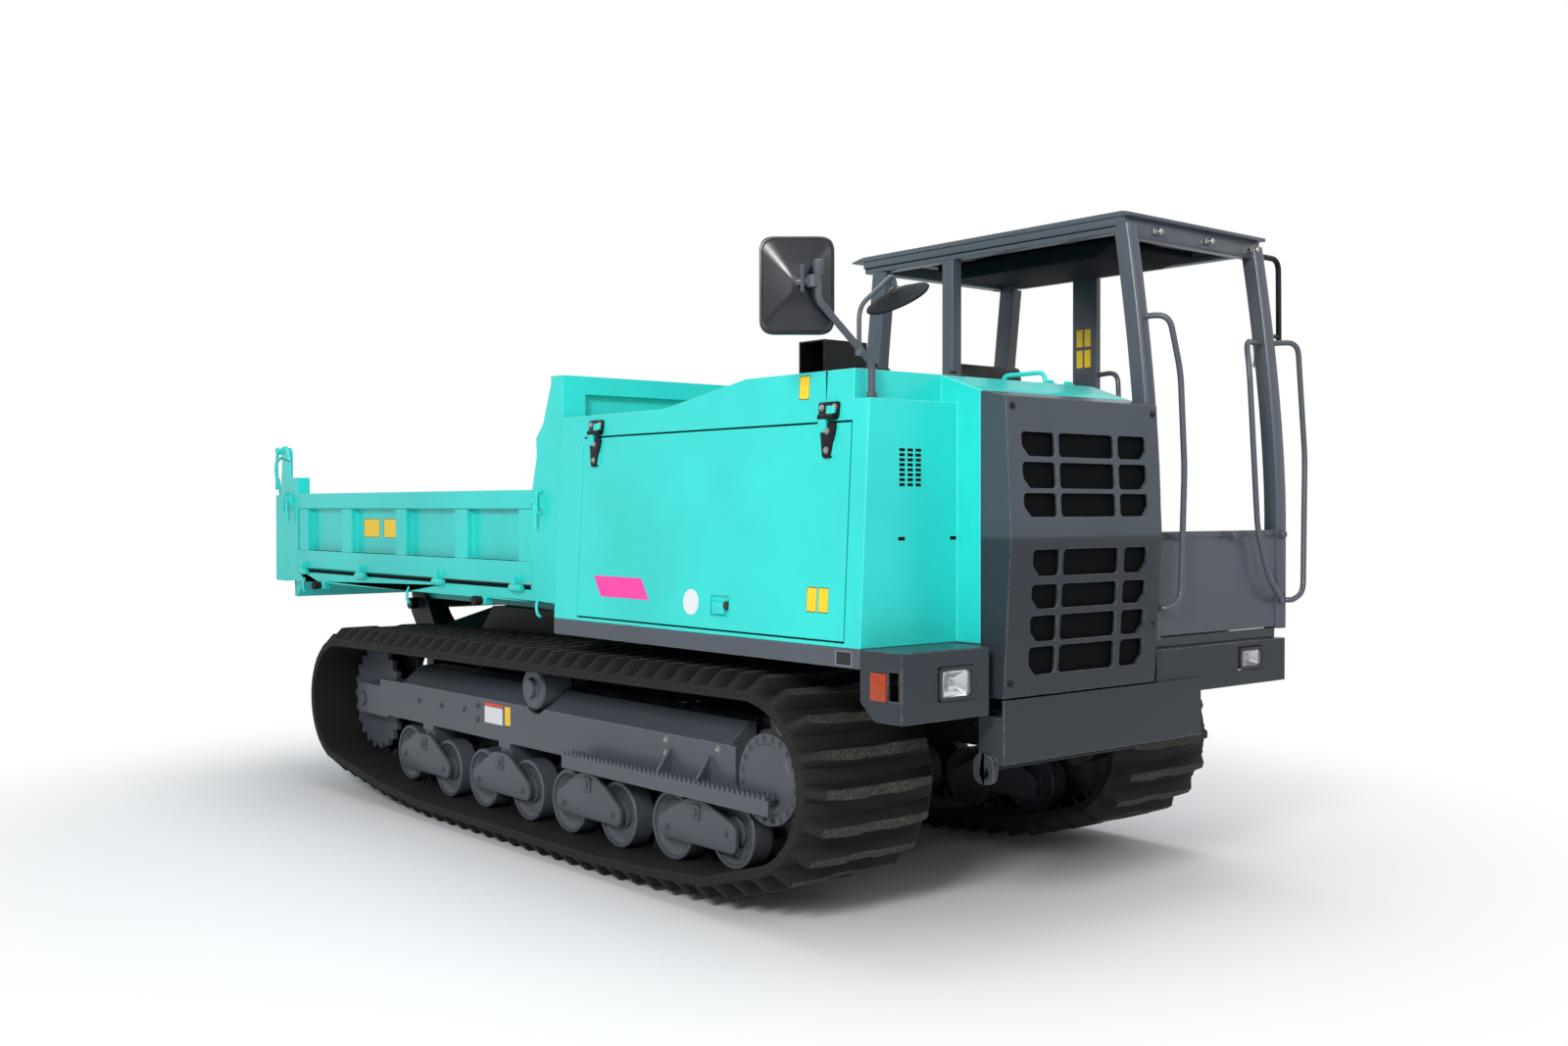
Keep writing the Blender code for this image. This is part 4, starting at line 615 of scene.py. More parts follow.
def rounded_outline(outline: Sequence[Flat], radius: float, steps: int = 5) -> list[Flat]:
    """Outline with its corners turned into arcs."""
    points = [Vector(point) for point in outline]
    result = []
    for corner in zip(points[-1:] + points[:-1], points, points[1:] + points[:1]):
        result += [tuple(point) for point in rounded_corner(*corner, radius, steps)]
    return result


def rectangle(u: Span, v: Span) -> list[Flat]:
    """Corners of a rectangle."""
    return [(u[0], v[0]), (u[1], v[0]), (u[1], v[1]), (u[0], v[1])]


def upright(x: Span, y: float, z: Span) -> list[Spot]:
    """Corners of a rectangle that stands across Y."""
    return [(u, y, v) for u, v in rectangle(x, z)]


def circle(centre: Flat, radius: float, count: int) -> list[Flat]:
    """Points round a circle."""
    angles = [2 * math.pi * (k + 0.5) / count for k in range(count)]
    return [(centre[0] + radius * math.cos(a), centre[1] + radius * math.sin(a)) for a in angles]


def dress(piece: bpy.types.Object, finish: Finish, *nodes: str, body: Body = Body.CHASSIS,
          slot: Slot | None = None) -> bpy.types.Object:
    """Give a piece its finish and its body.

    Args:
        piece: the piece.
        finish: its finish.
        nodes: nodes of the model that it stands for.
        body: the body that it rides on.
        slot: its slot in the record, or None for the finish's own; not used.

    Returns:
        The piece.
    """
    piece.data.materials.clear()
    piece.data.materials.append(finish.material())
    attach(piece, body.value)
    if nodes:
        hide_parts(*nodes)
    log.info("%s: %d faces", piece.name, len(piece.data.polygons))
    return piece


@dataclass(frozen=True)
class Lowered:
    """Part of a node that is pressed lower, between two values of X and two heights.

    Attributes:
        span: its two ends in X.
        heights: its floor, which stays, and the height above which nothing moves.
        share: height that is left, as a share of the old one.
        slope: distance from each end in which nothing moves but the sheets between.
    """

    span: Span
    heights: Span
    share: float
    slope: float = 0.0

    def shape(self, work: bmesh.types.BMesh) -> None:
        """Cut the mesh at the ends of its slopes and press what lies between."""
        low, high = self.span
        for x in (low, low + self.slope, high - self.slope, high) if self.slope else ():
            geometry = work.verts[:] + work.edges[:] + work.faces[:]
            bmesh.ops.bisect_plane(work, geom=geometry, plane_co=(x, 0.0, 0.0),
                                   plane_no=(1.0, 0.0, 0.0))
        floor, top = self.heights
        for vertex in work.verts:
            inside = low + self.slope - 1e-5 < vertex.co.x < high - self.slope + 1e-5
            if inside and floor < vertex.co.z < top:
                vertex.co.z = floor + (vertex.co.z - floor) * self.share


class Model:
    """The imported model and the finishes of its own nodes."""

    def __init__(self) -> None:
        """Load the model."""
        self.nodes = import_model()["nodes"]

    def paint(self, finish: Finish, *names: str) -> None:
        """Give nodes that stay as they are a finish."""
        for name in names:
            for slot in self.nodes[name].material_slots:
                slot.material = finish.material()
            log.info("%s: %s", name, finish.name)

    def softened(self, node: str, width: float, finish: Finish, lowered: Lowered | None = None,
                 **place: Body | Slot) -> bpy.types.Object:
        """Copy of a node with rounded edges, which stands for it.

        Args:
            node: the node's name.
            width: how wide its edges are rounded.
            finish: its finish.
            lowered: part of its top that is set lower.
            place: body and slot, where they aren't the usual ones.

        Returns:
            The copy.
        """
        work = bmesh.new()
        work.from_mesh(self.nodes[node].data)
        bmesh.ops.remove_doubles(work, verts=work.verts, dist=2e-5)
        if lowered:
            lowered.shape(work)
        bmesh.ops.dissolve_limit(work, angle_limit=math.radians(0.4), verts=work.verts,
                                 edges=work.edges)
        layer = work.faces.layers.float.new("edge")
        least = 3 * width
        edges = [e for e in work.edges if len(e.link_faces) == 2
                 and e.calc_face_angle(0) > math.radians(28) and e.calc_length() > least
                 and min(f.calc_area() for f in e.link_faces) > least * e.calc_length()]
        result = bmesh.ops.bevel(work, geom=edges, offset=width, segments=2, profile=0.5,
                                 affect="EDGES", clamp_overlap=False)
        for face in result["faces"]:
            face[layer] = 1.0
        piece = as_object(node + "_look", work, 50.0)
        piece.modifiers.new("weigh", "WEIGHTED_NORMAL").keep_sharp = True
        applied(piece)
        return dress(piece, finish, node, **place)


# Repeats

class Repeat:
    """Geometry Nodes that set one shape on many points or along a closed path."""

    def __init__(self) -> None:
        """Build both trees."""
        self.on_points = self.tree("shape on points", along=False)
        self.on_path = self.tree("shape along a path", along=True)

    @staticmethod
    def tree(name: str, along: bool) -> bpy.types.NodeTree:
        """Build a tree.

        Args:
            name: its name.
            along: whether the shape follows a curve, or stands on points by their own angles.

        Returns:
            The tree, which ends in Realize Instances and Set Material.
        """
        tree = bpy.data.node_groups.new(name, "GeometryNodeTree")
        for socket, kind in (("Places", "Geometry"), ("Shape", "Object"), ("Number", "Int"),
                             ("Finish", "Material")):
            tree.interface.new_socket(name=socket, in_out="INPUT", socket_type="NodeSocket" + kind)
        tree.interface.new_socket(name="Geometry", in_out="OUTPUT",
                                  socket_type="NodeSocketGeometry")

        def add(kind: str) -> bpy.types.Node:
            """Add a node."""
            return tree.nodes.new(kind)

        link = tree.links.new
        start, end = add("NodeGroupInput"), add("NodeGroupOutput")
        shape, stand = add("GeometryNodeObjectInfo"), add("GeometryNodeInstanceOnPoints")
        link(start.outputs["Shape"], shape.inputs["Object"])
        link(shape.outputs["Geometry"], stand.inputs["Instance"])
        if along:
            spread, way, turn = (add("GeometryNodeResampleCurve"), add("GeometryNodeInputTangent"),
                                 add("FunctionNodeAlignRotationToVector"))
            turn.axis = "X"
            turn.pivot_axis = "Y"
            link(start.outputs["Places"], spread.inputs["Curve"])
            link(start.outputs["Number"], spread.inputs["Count"])
            link(way.outputs[0], turn.inputs["Vector"])
            link(spread.outputs[0], stand.inputs["Points"])
            link(turn.outputs[0], stand.inputs["Rotation"])
        else:
            angles = add("GeometryNodeInputNamedAttribute")
            turn = add("FunctionNodeEulerToRotation")
            angles.data_type = "FLOAT_VECTOR"
            angles.inputs["Name"].default_value = "turn"
            link(start.outputs["Places"], stand.inputs["Points"])
            link(angles.outputs[0], turn.inputs[0])
            link(turn.outputs[0], stand.inputs["Rotation"])
        real, cover = add("GeometryNodeRealizeInstances"), add("GeometryNodeSetMaterial")
        link(stand.outputs[0], real.inputs[0])
        link(real.outputs[0], cover.inputs["Geometry"])
        link(start.outputs["Finish"], cover.inputs["Material"])
        link(cover.outputs[0], end.inputs[0])
        return tree

    def run(self, name: str, carrier: bpy.types.Object, tree: bpy.types.NodeTree,
            shape: bpy.types.Object, finish: Finish, number: int, nodes: Sequence[str],
            place: dict[str, Body | Slot]) -> bpy.types.Object:
        """Apply a tree to a carrier and keep the result as a plain mesh.

        Args:
            name: name of the new piece.
            carrier: object with the points or the path.
            tree: tree to run.
            shape: shape that is repeated.
            finish: its finish.
            number: how many stand along a path.
            nodes: nodes of the model that the piece stands for.
            place: body and slot, where they aren't the usual ones.

        Returns:
            The new piece.
        """
        bpy.context.scene.collection.objects.link(carrier)
        modifier = carrier.modifiers.new("repeat", "NODES")
        modifier.node_group = tree
        wanted = {"Shape": shape, "Number": number, "Finish": finish.material()}
        for item in tree.interface.items_tree:
            if item.in_out == "INPUT" and item.name in wanted:
                modifier[item.identifier] = wanted[item.name]
        graph = bpy.context.evaluated_depsgraph_get()
        mesh = bpy.data.meshes.new_from_object(carrier.evaluated_get(graph))
        carrier.modifiers.remove(modifier)
        for item in (carrier, shape):
            bpy.data.objects.remove(item)
        return dress(as_object(name, mesh), finish, *nodes, **place)

    def points(self, name: str, shape: bpy.types.Object, spots: Sequence[Spot], finish: Finish,
               *nodes: str, turns: Sequence[Spot] = (), **place: Body | Slot) -> bpy.types.Object:
        """Set a shape on points, each turned by its Euler angles."""
        mesh = bpy.data.meshes.new(name + "_points")
        mesh.from_pydata([tuple(s) for s in spots], [], [])
        angles = mesh.attributes.new("turn", "FLOAT_VECTOR", "POINT")
        turns = turns or [Aim.UP.value] * len(spots)
        angles.data.foreach_set("vector", [c for t in turns for c in t])
        carrier = bpy.data.objects.new(name + "_points", mesh)
        return self.run(name, carrier, self.on_points, shape, finish, len(spots), nodes, place)

    def path(self, name: str, shape: bpy.types.Object, loop: Sequence[Spot], number: int,
             finish: Finish, *nodes: str) -> bpy.types.Object:
        """Set a number of shapes evenly along a closed path in a plane of constant Y."""
        curve = bpy.data.curves.new(name + "_path", "CURVE")
        curve.dimensions = "3D"
        spline = curve.splines.new("POLY")
        spline.points.add(len(loop) - 1)
        for point, place in zip(spline.points, loop):
            point.co = (*place, 1.0)
        spline.use_cyclic_u = True
        carrier = bpy.data.objects.new(name + "_path", curve)
        return self.run(name, carrier, self.on_path, shape, finish, number, nodes, {})


class Aim(Enum):
    """Way a fastener's head points, as the Euler angles that turn +Z to it."""

    RIGHT = (math.pi / 2, 0.0, 0.0)
    LEFT = (-math.pi / 2, 0.0, 0.0)
    FRONT = (0.0, math.pi / 2, 0.0)
    UP = (0.0, 0.0, 0.0)


def hex_bolt(radius: float = 0.011) -> bpy.types.Object:
    """Hexagon head with its washer, standing on z = 0."""
    form = Form()
    form.lathe([(radius * 1.35, 0.0), (radius * 1.35, radius * 0.18),
                (radius * 1.2, radius * 0.24)],
               (0, 0), Axis.Z, 20)
    form.lathe([(radius, radius * 0.2), (radius, radius * 0.75), (radius * 0.86, radius * 0.88)],
               (0, 0), Axis.Z, 6)
    return form.object("bolt", 25.0)


def dome_bolt(radius: float = 0.008) -> bpy.types.Object:
    """Low round head standing on z = 0."""
    form = Form()
    form.lathe([(radius, 0.0), (radius * 0.95, radius * 0.3), (radius * 0.6, radius * 0.58),
                (radius * 0.25, radius * 0.62)], (0, 0), Axis.Z, 16)
    return form.object("bolt", 60.0)


@dataclass
class Fasteners:
    """Collects the bolts of one body and sets them in one piece."""

    repeat: Repeat
    name: str
    finish: Finish
    body: Body = Body.CHASSIS
    slot: Slot | None = None
    spots: list[Spot] = field(default_factory=list)
    turns: list[Spot] = field(default_factory=list)

    def add(self, aim: Aim, *spots: Spot) -> None:
        """Add heads that point one way."""
        for spot in spots:
            self.spots.append(spot)
            self.turns.append(aim.value)

    def set(self, shape: bpy.types.Object) -> None:
        """Make the piece with a shape of head."""
        self.repeat.points(self.name, shape, self.spots, self.finish, turns=self.turns,
                           body=self.body, slot=self.slot)


def film(name: str, corners: Sequence[Spot], out: int, finish: Finish, border: float,
         **place: Body | Slot) -> bpy.types.Object:
    """Thin printed film on a flat place.

    Args:
        name: name of the piece.
        corners: its corners in order.
        out: sign of Y away from the sheet.
        finish: its finish.
        border: width of its edge line, as a share of the way to its middle.
        place: body and slot, where they aren't the usual ones.

    Returns:
        The film.
    """
    outer = [Vector(c) for c in corners]
    middle = sum(outer, Vector()) / len(outer)
    inner = [p.lerp(middle, border) for p in outer]
    rise = Vector((0.0, out * PROUD, 0.0))
    n = len(outer)
    work = bmesh.new()
    low = [work.verts.new(p) for p in outer]
    edge = [work.verts.new(p + rise) for p in outer]
    field = [work.verts.new(p + rise) for p in inner]
    layer = work.faces.layers.float.new("border")
    work.faces.new(low)
    work.faces.new(field)
    for i in range(n):
        k = (i + 1) % n
        work.faces.new([low[i], low[k], edge[k], edge[i]])
        rim = work.faces.new([edge[i], edge[k], field[k], field[i]])
        rim[layer] = 1.0
    bmesh.ops.recalc_face_normals(work, faces=work.faces)
    return dress(as_object(name, work), finish, **place)


# Undercarriage

@dataclass
class Undercarriage:
    """Track of one side with its wheels, rollers and fittings.

    Attributes:
        offset: Y of the track's middle.
        half: half the belt's width.
        belt: thickness of the belt.
        lug: height of a lug.
        lugs: number of lugs.
        sprocket: x, z and radius of the sprocket.
        idler: x, z and radius of the idler.
        roller: radius of a roller.
        gap: distance between a wheel and the belt.
        rollers: x of each roller and how far it stands over the lowest ones.
        rim_in: distance from the middle to a roller's rim.
        rim_out: distance from the middle to a roller's outer face.
        hub: distance from a roller's outer face to the rocker plate.
        plate: thickness of a rocker plate.
        eye: z of the rocker's axle.
        frame_half: half the track frame's width.
        drive_face: distance from the middle to the final drive's face.
    """

    side: Side
    repeat: Repeat
    model: Model
    offset: float = 0.80
    half: float = 0.30
    belt: float = 0.035
    lug: float = 0.055
    lugs: int = 76
    sprocket: Spot = (1.715, 0.49, 0.28)
    idler: Spot = (-1.53, 0.46, 0.27)
    roller: float = 0.13
    gap: float = 0.0008
    rollers: tuple[Flat, ...] = ((-1.02, 0.028), (-0.64, 0.0), (-0.31, 0.0), (0.07, 0.0),
                                 (0.395, 0.0), (0.753, 0.0), (1.115, 0.016), (1.475, 0.045))
    rim_in: float = 0.065
    rim_out: float = 0.15
    hub: float = 0.008
    plate: float = 0.018
    eye: float = 0.315
    frame_half: float = 0.155
    drive_face: float = 0.19

    @property
    def middle(self) -> float:
        """Y of the track's centre line."""
        return self.side.sign * self.offset

    @property
    def aim(self) -> Aim:
        """Way outwards on this side."""
        return Aim.RIGHT if self.side is Side.RIGHT else Aim.LEFT

    @property
    def plate_face(self) -> float:
        """Distance from the middle to a rocker plate's outer face."""
        return self.rim_out + self.hub + self.plate

    def out(self, distance: float) -> float:
        """Y at a distance outwards from the track's centre line."""
        return self.side.sign * (self.offset + distance)

    def axle(self, index: int) -> Flat:
        """(x, z) of a roller's axle."""
        x, lift = self.rollers[index]
        return x, self.belt + self.lug + lift + self.roller

    def loop(self) -> list[Vector]:
        """Inner face of the belt in the (x, z) plane, from its rearmost point over the top."""
        wheels = [self.sprocket, self.idler]
        wheels += [(*self.axle(i), self.roller) for i in range(len(self.rollers))]
        cloud = sorted({p for x, z, r in wheels for p in circle((x, z), r + self.gap, 96)})
        loop: list[Flat] = []
        for run in (cloud, cloud[::-1]):
            part: list[Flat] = []
            for p in run:
                while len(part) > 1 and self.turns_right(part[-2], part[-1], p):
                    part.pop()
                part.append(p)
            loop += part[:-1]
        loop = [loop[0]] + loop[:0:-1]
        dense: list[Vector] = []
        for a, b in zip(loop, loop[1:] + loop[:1]):
            start, end = Vector(a), Vector(b)
            cuts = max(1, math.ceil((end - start).length / 0.09))
            dense += [start.lerp(end, k / cuts) for k in range(cuts)]
        return dense

    @staticmethod
    def turns_right(a: Flat, b: Flat, c: Flat) -> bool:
        """Whether a path through three points doesn't turn left."""
        return (b[0] - a[0]) * (c[1] - a[1]) - (b[1] - a[1]) * (c[0] - a[0]) <= 1e-9

    def outward(self, loop: Sequence[Vector]) -> list[Vector]:
        """Outward direction at each point of the loop."""
        result = []
        for i in range(len(loop)):
            along = (loop[(i + 1) % len(loop)] - loop[i - 1]).normalized()
            result.append(Vector((-along.y, along.x)))
        return result

    def build_belt(self) -> None:
        """Belt with its edge ribs, swept round the wheels."""
        loop = self.loop()
        half, thick = self.half, self.belt - 0.001
        section = [(-half + 0.004, 0.0), (-0.06, 0.0), (-0.055, 0.002), (0.055, 0.002), (0.06, 0.0),
                   (half - 0.004, 0.0), (half, 0.004), (half, 0.011), (half - 0.002, 0.013),
                   (half - 0.002, 0.021), (half, 0.023), (half, thick - 0.003),
                   (half - 0.004, thick), (-half + 0.004, thick), (-half, thick - 0.003),
                   (-half, 0.023), (-half + 0.002, 0.021), (-half + 0.002, 0.013), (-half, 0.011),
                   (-half, 0.004)]
        ways = self.outward(loop)
        label, node = self.side.label, f"track_{self.side.label}"
        Form().rings([[(point.x + way.x * h, self.middle + y, point.y + way.y * h)
                       for y, h in section] for point, way in zip(loop, ways)],
                     loop=True).piece(f"belt_{label}", RUBBER, node, crease=40.0)
        base = [(p.x + w.x * thick, self.middle, p.y + w.y * thick) for p, w in zip(loop, ways)]
        self.repeat.path(f"lugs_{label}", self.lug_shape(), base, self.lugs, RUBBER, node)
        inside = [(p.x, self.middle, p.y) for p in loop]
        self.repeat.path(f"guide_horns_{label}", self.horn_shape(), inside, self.lugs, RUBBER, node)

    def lug_shape(self) -> bpy.types.Object:
        """One lug across the belt: bent back at its ends, with sloping end faces."""
        high = self.lug
        stations = [(0.045, high - 0.006, 0.017, 0.032, 0.013), (0.07, high, 0.019, 0.034, 0.013),
                    (0.17, high, 0.017, 0.033, 0.010), (0.240, high, 0.014, 0.033, 0.004),
                    (0.285, 0.012, 0.012, 0.034, 0.001), (0.297, 0.003, 0.010, 0.030, 0.0)]
        stations = [(-y, *rest) for y, *rest in stations[::-1]] + stations
        work = bmesh.new()
        rings = []
        for y, top, tip, foot, shift in stations:
            s = shift - 0.008
            rings.append([work.verts.new(p) for p in (
                (s - foot, y, -0.004), (s - foot + 0.004, y, 0.002),
                (s - tip - 0.001, y, top - 0.003), (s - tip + 0.002, y, top),
                (s + tip - 0.002, y, top), (s + tip + 0.001, y, top - 0.003),
                (s + foot - 0.004, y, 0.002), (s + foot, y, -0.004))])
        layer = work.faces.layers.float.new("tread")
        count = len(rings[0])
        for i, (a, b) in enumerate(zip(rings, rings[1:])):
            for k in range(count):
                face = work.faces.new([a[k], a[(k + 1) % count], b[(k + 1) % count], b[k]])
                if k in (2, 3, 4) and 1 < i < len(rings) - 3:
                    face[layer] = 1.0
        work.faces.new(rings[0])
        work.faces.new(rings[-1])
        bmesh.ops.recalc_face_normals(work, faces=work.faces)
        return as_object("lug", work, 28.0)

    def horn_shape(self) -> bpy.types.Object:
        """Pair of guide horns that stand inwards from the belt."""
        form = Form()
        for sign in SIGNS:
            form.rings([[(x, sign * 0.040 + y, -depth)
                         for x, y in rectangle((-length, length), (-width, width))]
                        for depth, length, width in ((-0.003, 0.024, 0.0095), (0.004, 0.022, 0.009),
                                                     (0.034, 0.010, 0.006), (0.040, 0.006, 0.003))])
        return form.object("horn", 28.0)

    def build_bogies(self) -> None:
        """Twin rollers in pairs between rocking plates."""
        outer, inner, y = self.rim_out, self.rim_in, self.middle
        r = self.roller - self.gap
        rims = [(0.035, -outer + 0.030), (r - 0.040, -outer + 0.026), (r - 0.018, -outer + 0.010),
                (r - 0.014, -outer), (r - 0.003, -outer), (r, -outer + 0.003), (r, -inner - 0.003),
                (r - 0.003, -inner), (0.052, -inner), (0.045, -inner + 0.006)]
        rims += [(radius, -along) for radius, along in rims[::-1]]
        hub = [(0.030, outer - 0.032), (0.056, outer - 0.032), (0.056, outer - 0.016),
               (0.046, outer - 0.012), (0.046, outer + 0.002), (0.038, outer + 0.006),
               (0.030, outer + 0.008)]
        for pair in range(4):
            rear, front = self.axle(2 * pair), self.axle(2 * pair + 1)
            end = f"{self.side.label}_{pair + 1}"
            name = "bogie_" + end
            rollers = Form()
            for place in (rear, front):
                rollers.lathe([(radius, y + along) for radius, along in rims], place, count=56)
                for sign in SIGNS:
                    rollers.lathe([(radius, y + sign * along) for radius, along in hub], place,
                                  count=40)
            rollers.piece("rollers_" + end, CAST, name, crease=30.0)
            plates = Form()
            middle = (rear[0] + front[0]) / 2
            foot = min(rear[1], front[1]) - 0.052 + 0.012
            top = self.eye + 0.043
            outline = rounded_outline([
                (rear[0] - 0.052, foot), (front[0] + 0.052, foot),
                (front[0] + 0.056, front[1] + 0.030), (middle + 0.060, top),
                (middle - 0.060, top), (rear[0] - 0.056, rear[1] + 0.030)], 0.030, 6)
            face = self.plate_face
            for sign in SIGNS:
                low, high = sorted((sign * (outer + self.hub), sign * face))
                plates.prism(outline, Axis.Y, y + low, y + high)
            plates.bevel(0.003).piece("rocker_plates_" + end, CAST, name)
            pocket = rectangle((middle - 0.026, middle + 0.026),
                               (self.eye - 0.030, self.eye + 0.030))
            Form().prism(rounded_outline(pocket, 0.008), Axis.Y,
                         *sorted((self.out(face - 0.002), self.out(face + 0.006)))
                         ).bevel(0.002).piece("rocker_lock_" + end, CAST)
            Form().lathe([(0.014, self.out(face + 0.004)), (0.014, self.out(face + 0.012)),
                          (0.010, self.out(face + 0.014))], (middle, self.eye),
                         count=24).piece("rocker_pin_" + end, CAST)

    def build_drive(self) -> None:
        """Final drive cover, its ring of bolts and the sprocket's teeth."""
        x, z, r = self.sprocket
        face, node = self.drive_face, f"drive_sprocket_{self.side.label}"
        profile = [(0.118, -0.12), (0.118, face - 0.040), (0.156, face - 0.030),
                   (0.160, face - 0.026), (0.160, face - 0.012), (0.157, face - 0.008),
                   (0.128, face - 0.008), (0.124, face - 0.006), (0.118, face - 0.001),
                   (0.112, face), (0.03, face)]
        Form().lathe([(radius, self.out(along)) for radius, along in profile], (x, z),
                     count=72).piece(f"final_drive_{self.side.label}", CAST, node, crease=25.0)
        teeth = Form().prism(self.star((x, z), r - 0.053, r - 0.008, 14), Axis.Y,
                             self.middle - 0.024, self.middle + 0.024)
        teeth.bevel(0.003, 2, 25).piece(f"sprocket_teeth_{self.side.label}", WORN_STEEL, node)
        ring = Fasteners(self.repeat, f"final_drive_bolts_{self.side.label}", CAST)
        ring.add(self.aim, *[(u, self.out(face - 0.008), v) for u, v in circle((x, z), 0.142, 20)])
        ring.set(hex_bolt(0.0085))

    @staticmethod
    def star(centre: Flat, root: float, reach: float, teeth: int) -> list[Flat]:
        """Outline of a wheel with rounded teeth."""
        points = []
        for k in range(teeth * 12):
            angle = 2 * math.pi * k / (teeth * 12)
            radius = root + (reach - root) * (0.5 + 0.5 * math.cos(angle * teeth)) ** 0.8
            points.append((centre[0] + radius * math.cos(angle),
                           centre[1] + radius * math.sin(angle)))
        return points

    def build_idler(self) -> None:
        """Idler with two toothed rims and a domed hub."""
        x, z, r = self.idler
        wheel = Form()
        reach = r - 0.008
        for low, high in ((-0.080, -0.052), (0.052, 0.080)):
            wheel.prism(self.star((x, z), reach - 0.03, reach, 22), Axis.Y, self.middle + low,
                        self.middle + high)
        wheel.bevel(0.003, 1, 25)
        hub = [(0.03, -0.105), (0.085, -0.105), (0.09, -0.10), (0.09, 0.10), (0.085, 0.105),
               (0.03, 0.105)]
        wheel.lathe([(radius, self.middle + along) for radius, along in hub], (x, z), count=40)
        wheel.lathe([(0.033, self.middle - 0.163), (0.033, self.middle + 0.163)], (x, z), count=24)
        wheel.piece(f"idler_wheel_{self.side.label}", CAST, f"idler_{self.side.label}")

    def build_fittings(self) -> None:
        """Step teeth, bolts and films of the track frame."""
        label, aim = self.side.label, self.aim
        step = [(0.505 + k * 0.028, self.out(depth), 0.4335) for k in range(46)
                for depth in (0.241, 0.200)]
        tooth = Form().rings([[(x, y, z) for x, y in rectangle((-u, u), (-v, v))]
                              for u, v, z in ((0.010, 0.004, 0.0), (0.005, 0.003, 0.016))])
        self.repeat.points(f"step_teeth_{label}", tooth.object("tooth"), step, GREY)
        side = self.out(self.frame_half)
        bolts = Fasteners(self.repeat, f"track_frame_bolts_{label}", STEEL)
        bolts.add(aim, *[(x, side, z) for x, z in ((1.086, 0.552), (1.086, 0.501), (1.404, 0.554))])
        bolts.set(hex_bolt(0.010))
        plugs = Fasteners(self.repeat, f"track_frame_plugs_{label}", CAST)
        plugs.add(aim, *[(x, side, z) for x, z in ((-0.921, 0.505), (-0.695, 0.504), (-0.48, 0.510),
                                                   (-0.353, 0.538), (-0.353, 0.477))])
        face = self.out(self.plate_face)
        for x, z in map(self.axle, range(len(self.rollers))):
            plugs.add(aim, (x, face, z))
        plugs.set(hex_bolt(0.010))
        for name, x, z, finish, border in (
                ("frame_film", (-0.292, -0.130), (0.471, 0.545), WHITE, 0.03),
                ("frame_film_head", (-0.292, -0.130), (0.546, 0.560), RED, 0.0),
                ("frame_film_side", (-0.115, -0.065), (0.474, 0.560), YELLOW, 0.06)):
            film(f"{name}_{label}", upright(x, side, z), self.side.sign, finish, border)

    def build(self) -> None:
        """Make all of this side."""
        self.build_belt()
        self.build_bogies()
        self.build_drive()
        self.build_idler()
        self.build_fittings()
        self.model.softened(f"track_frame_{self.side.label}", 0.003, GREY)


# Hood

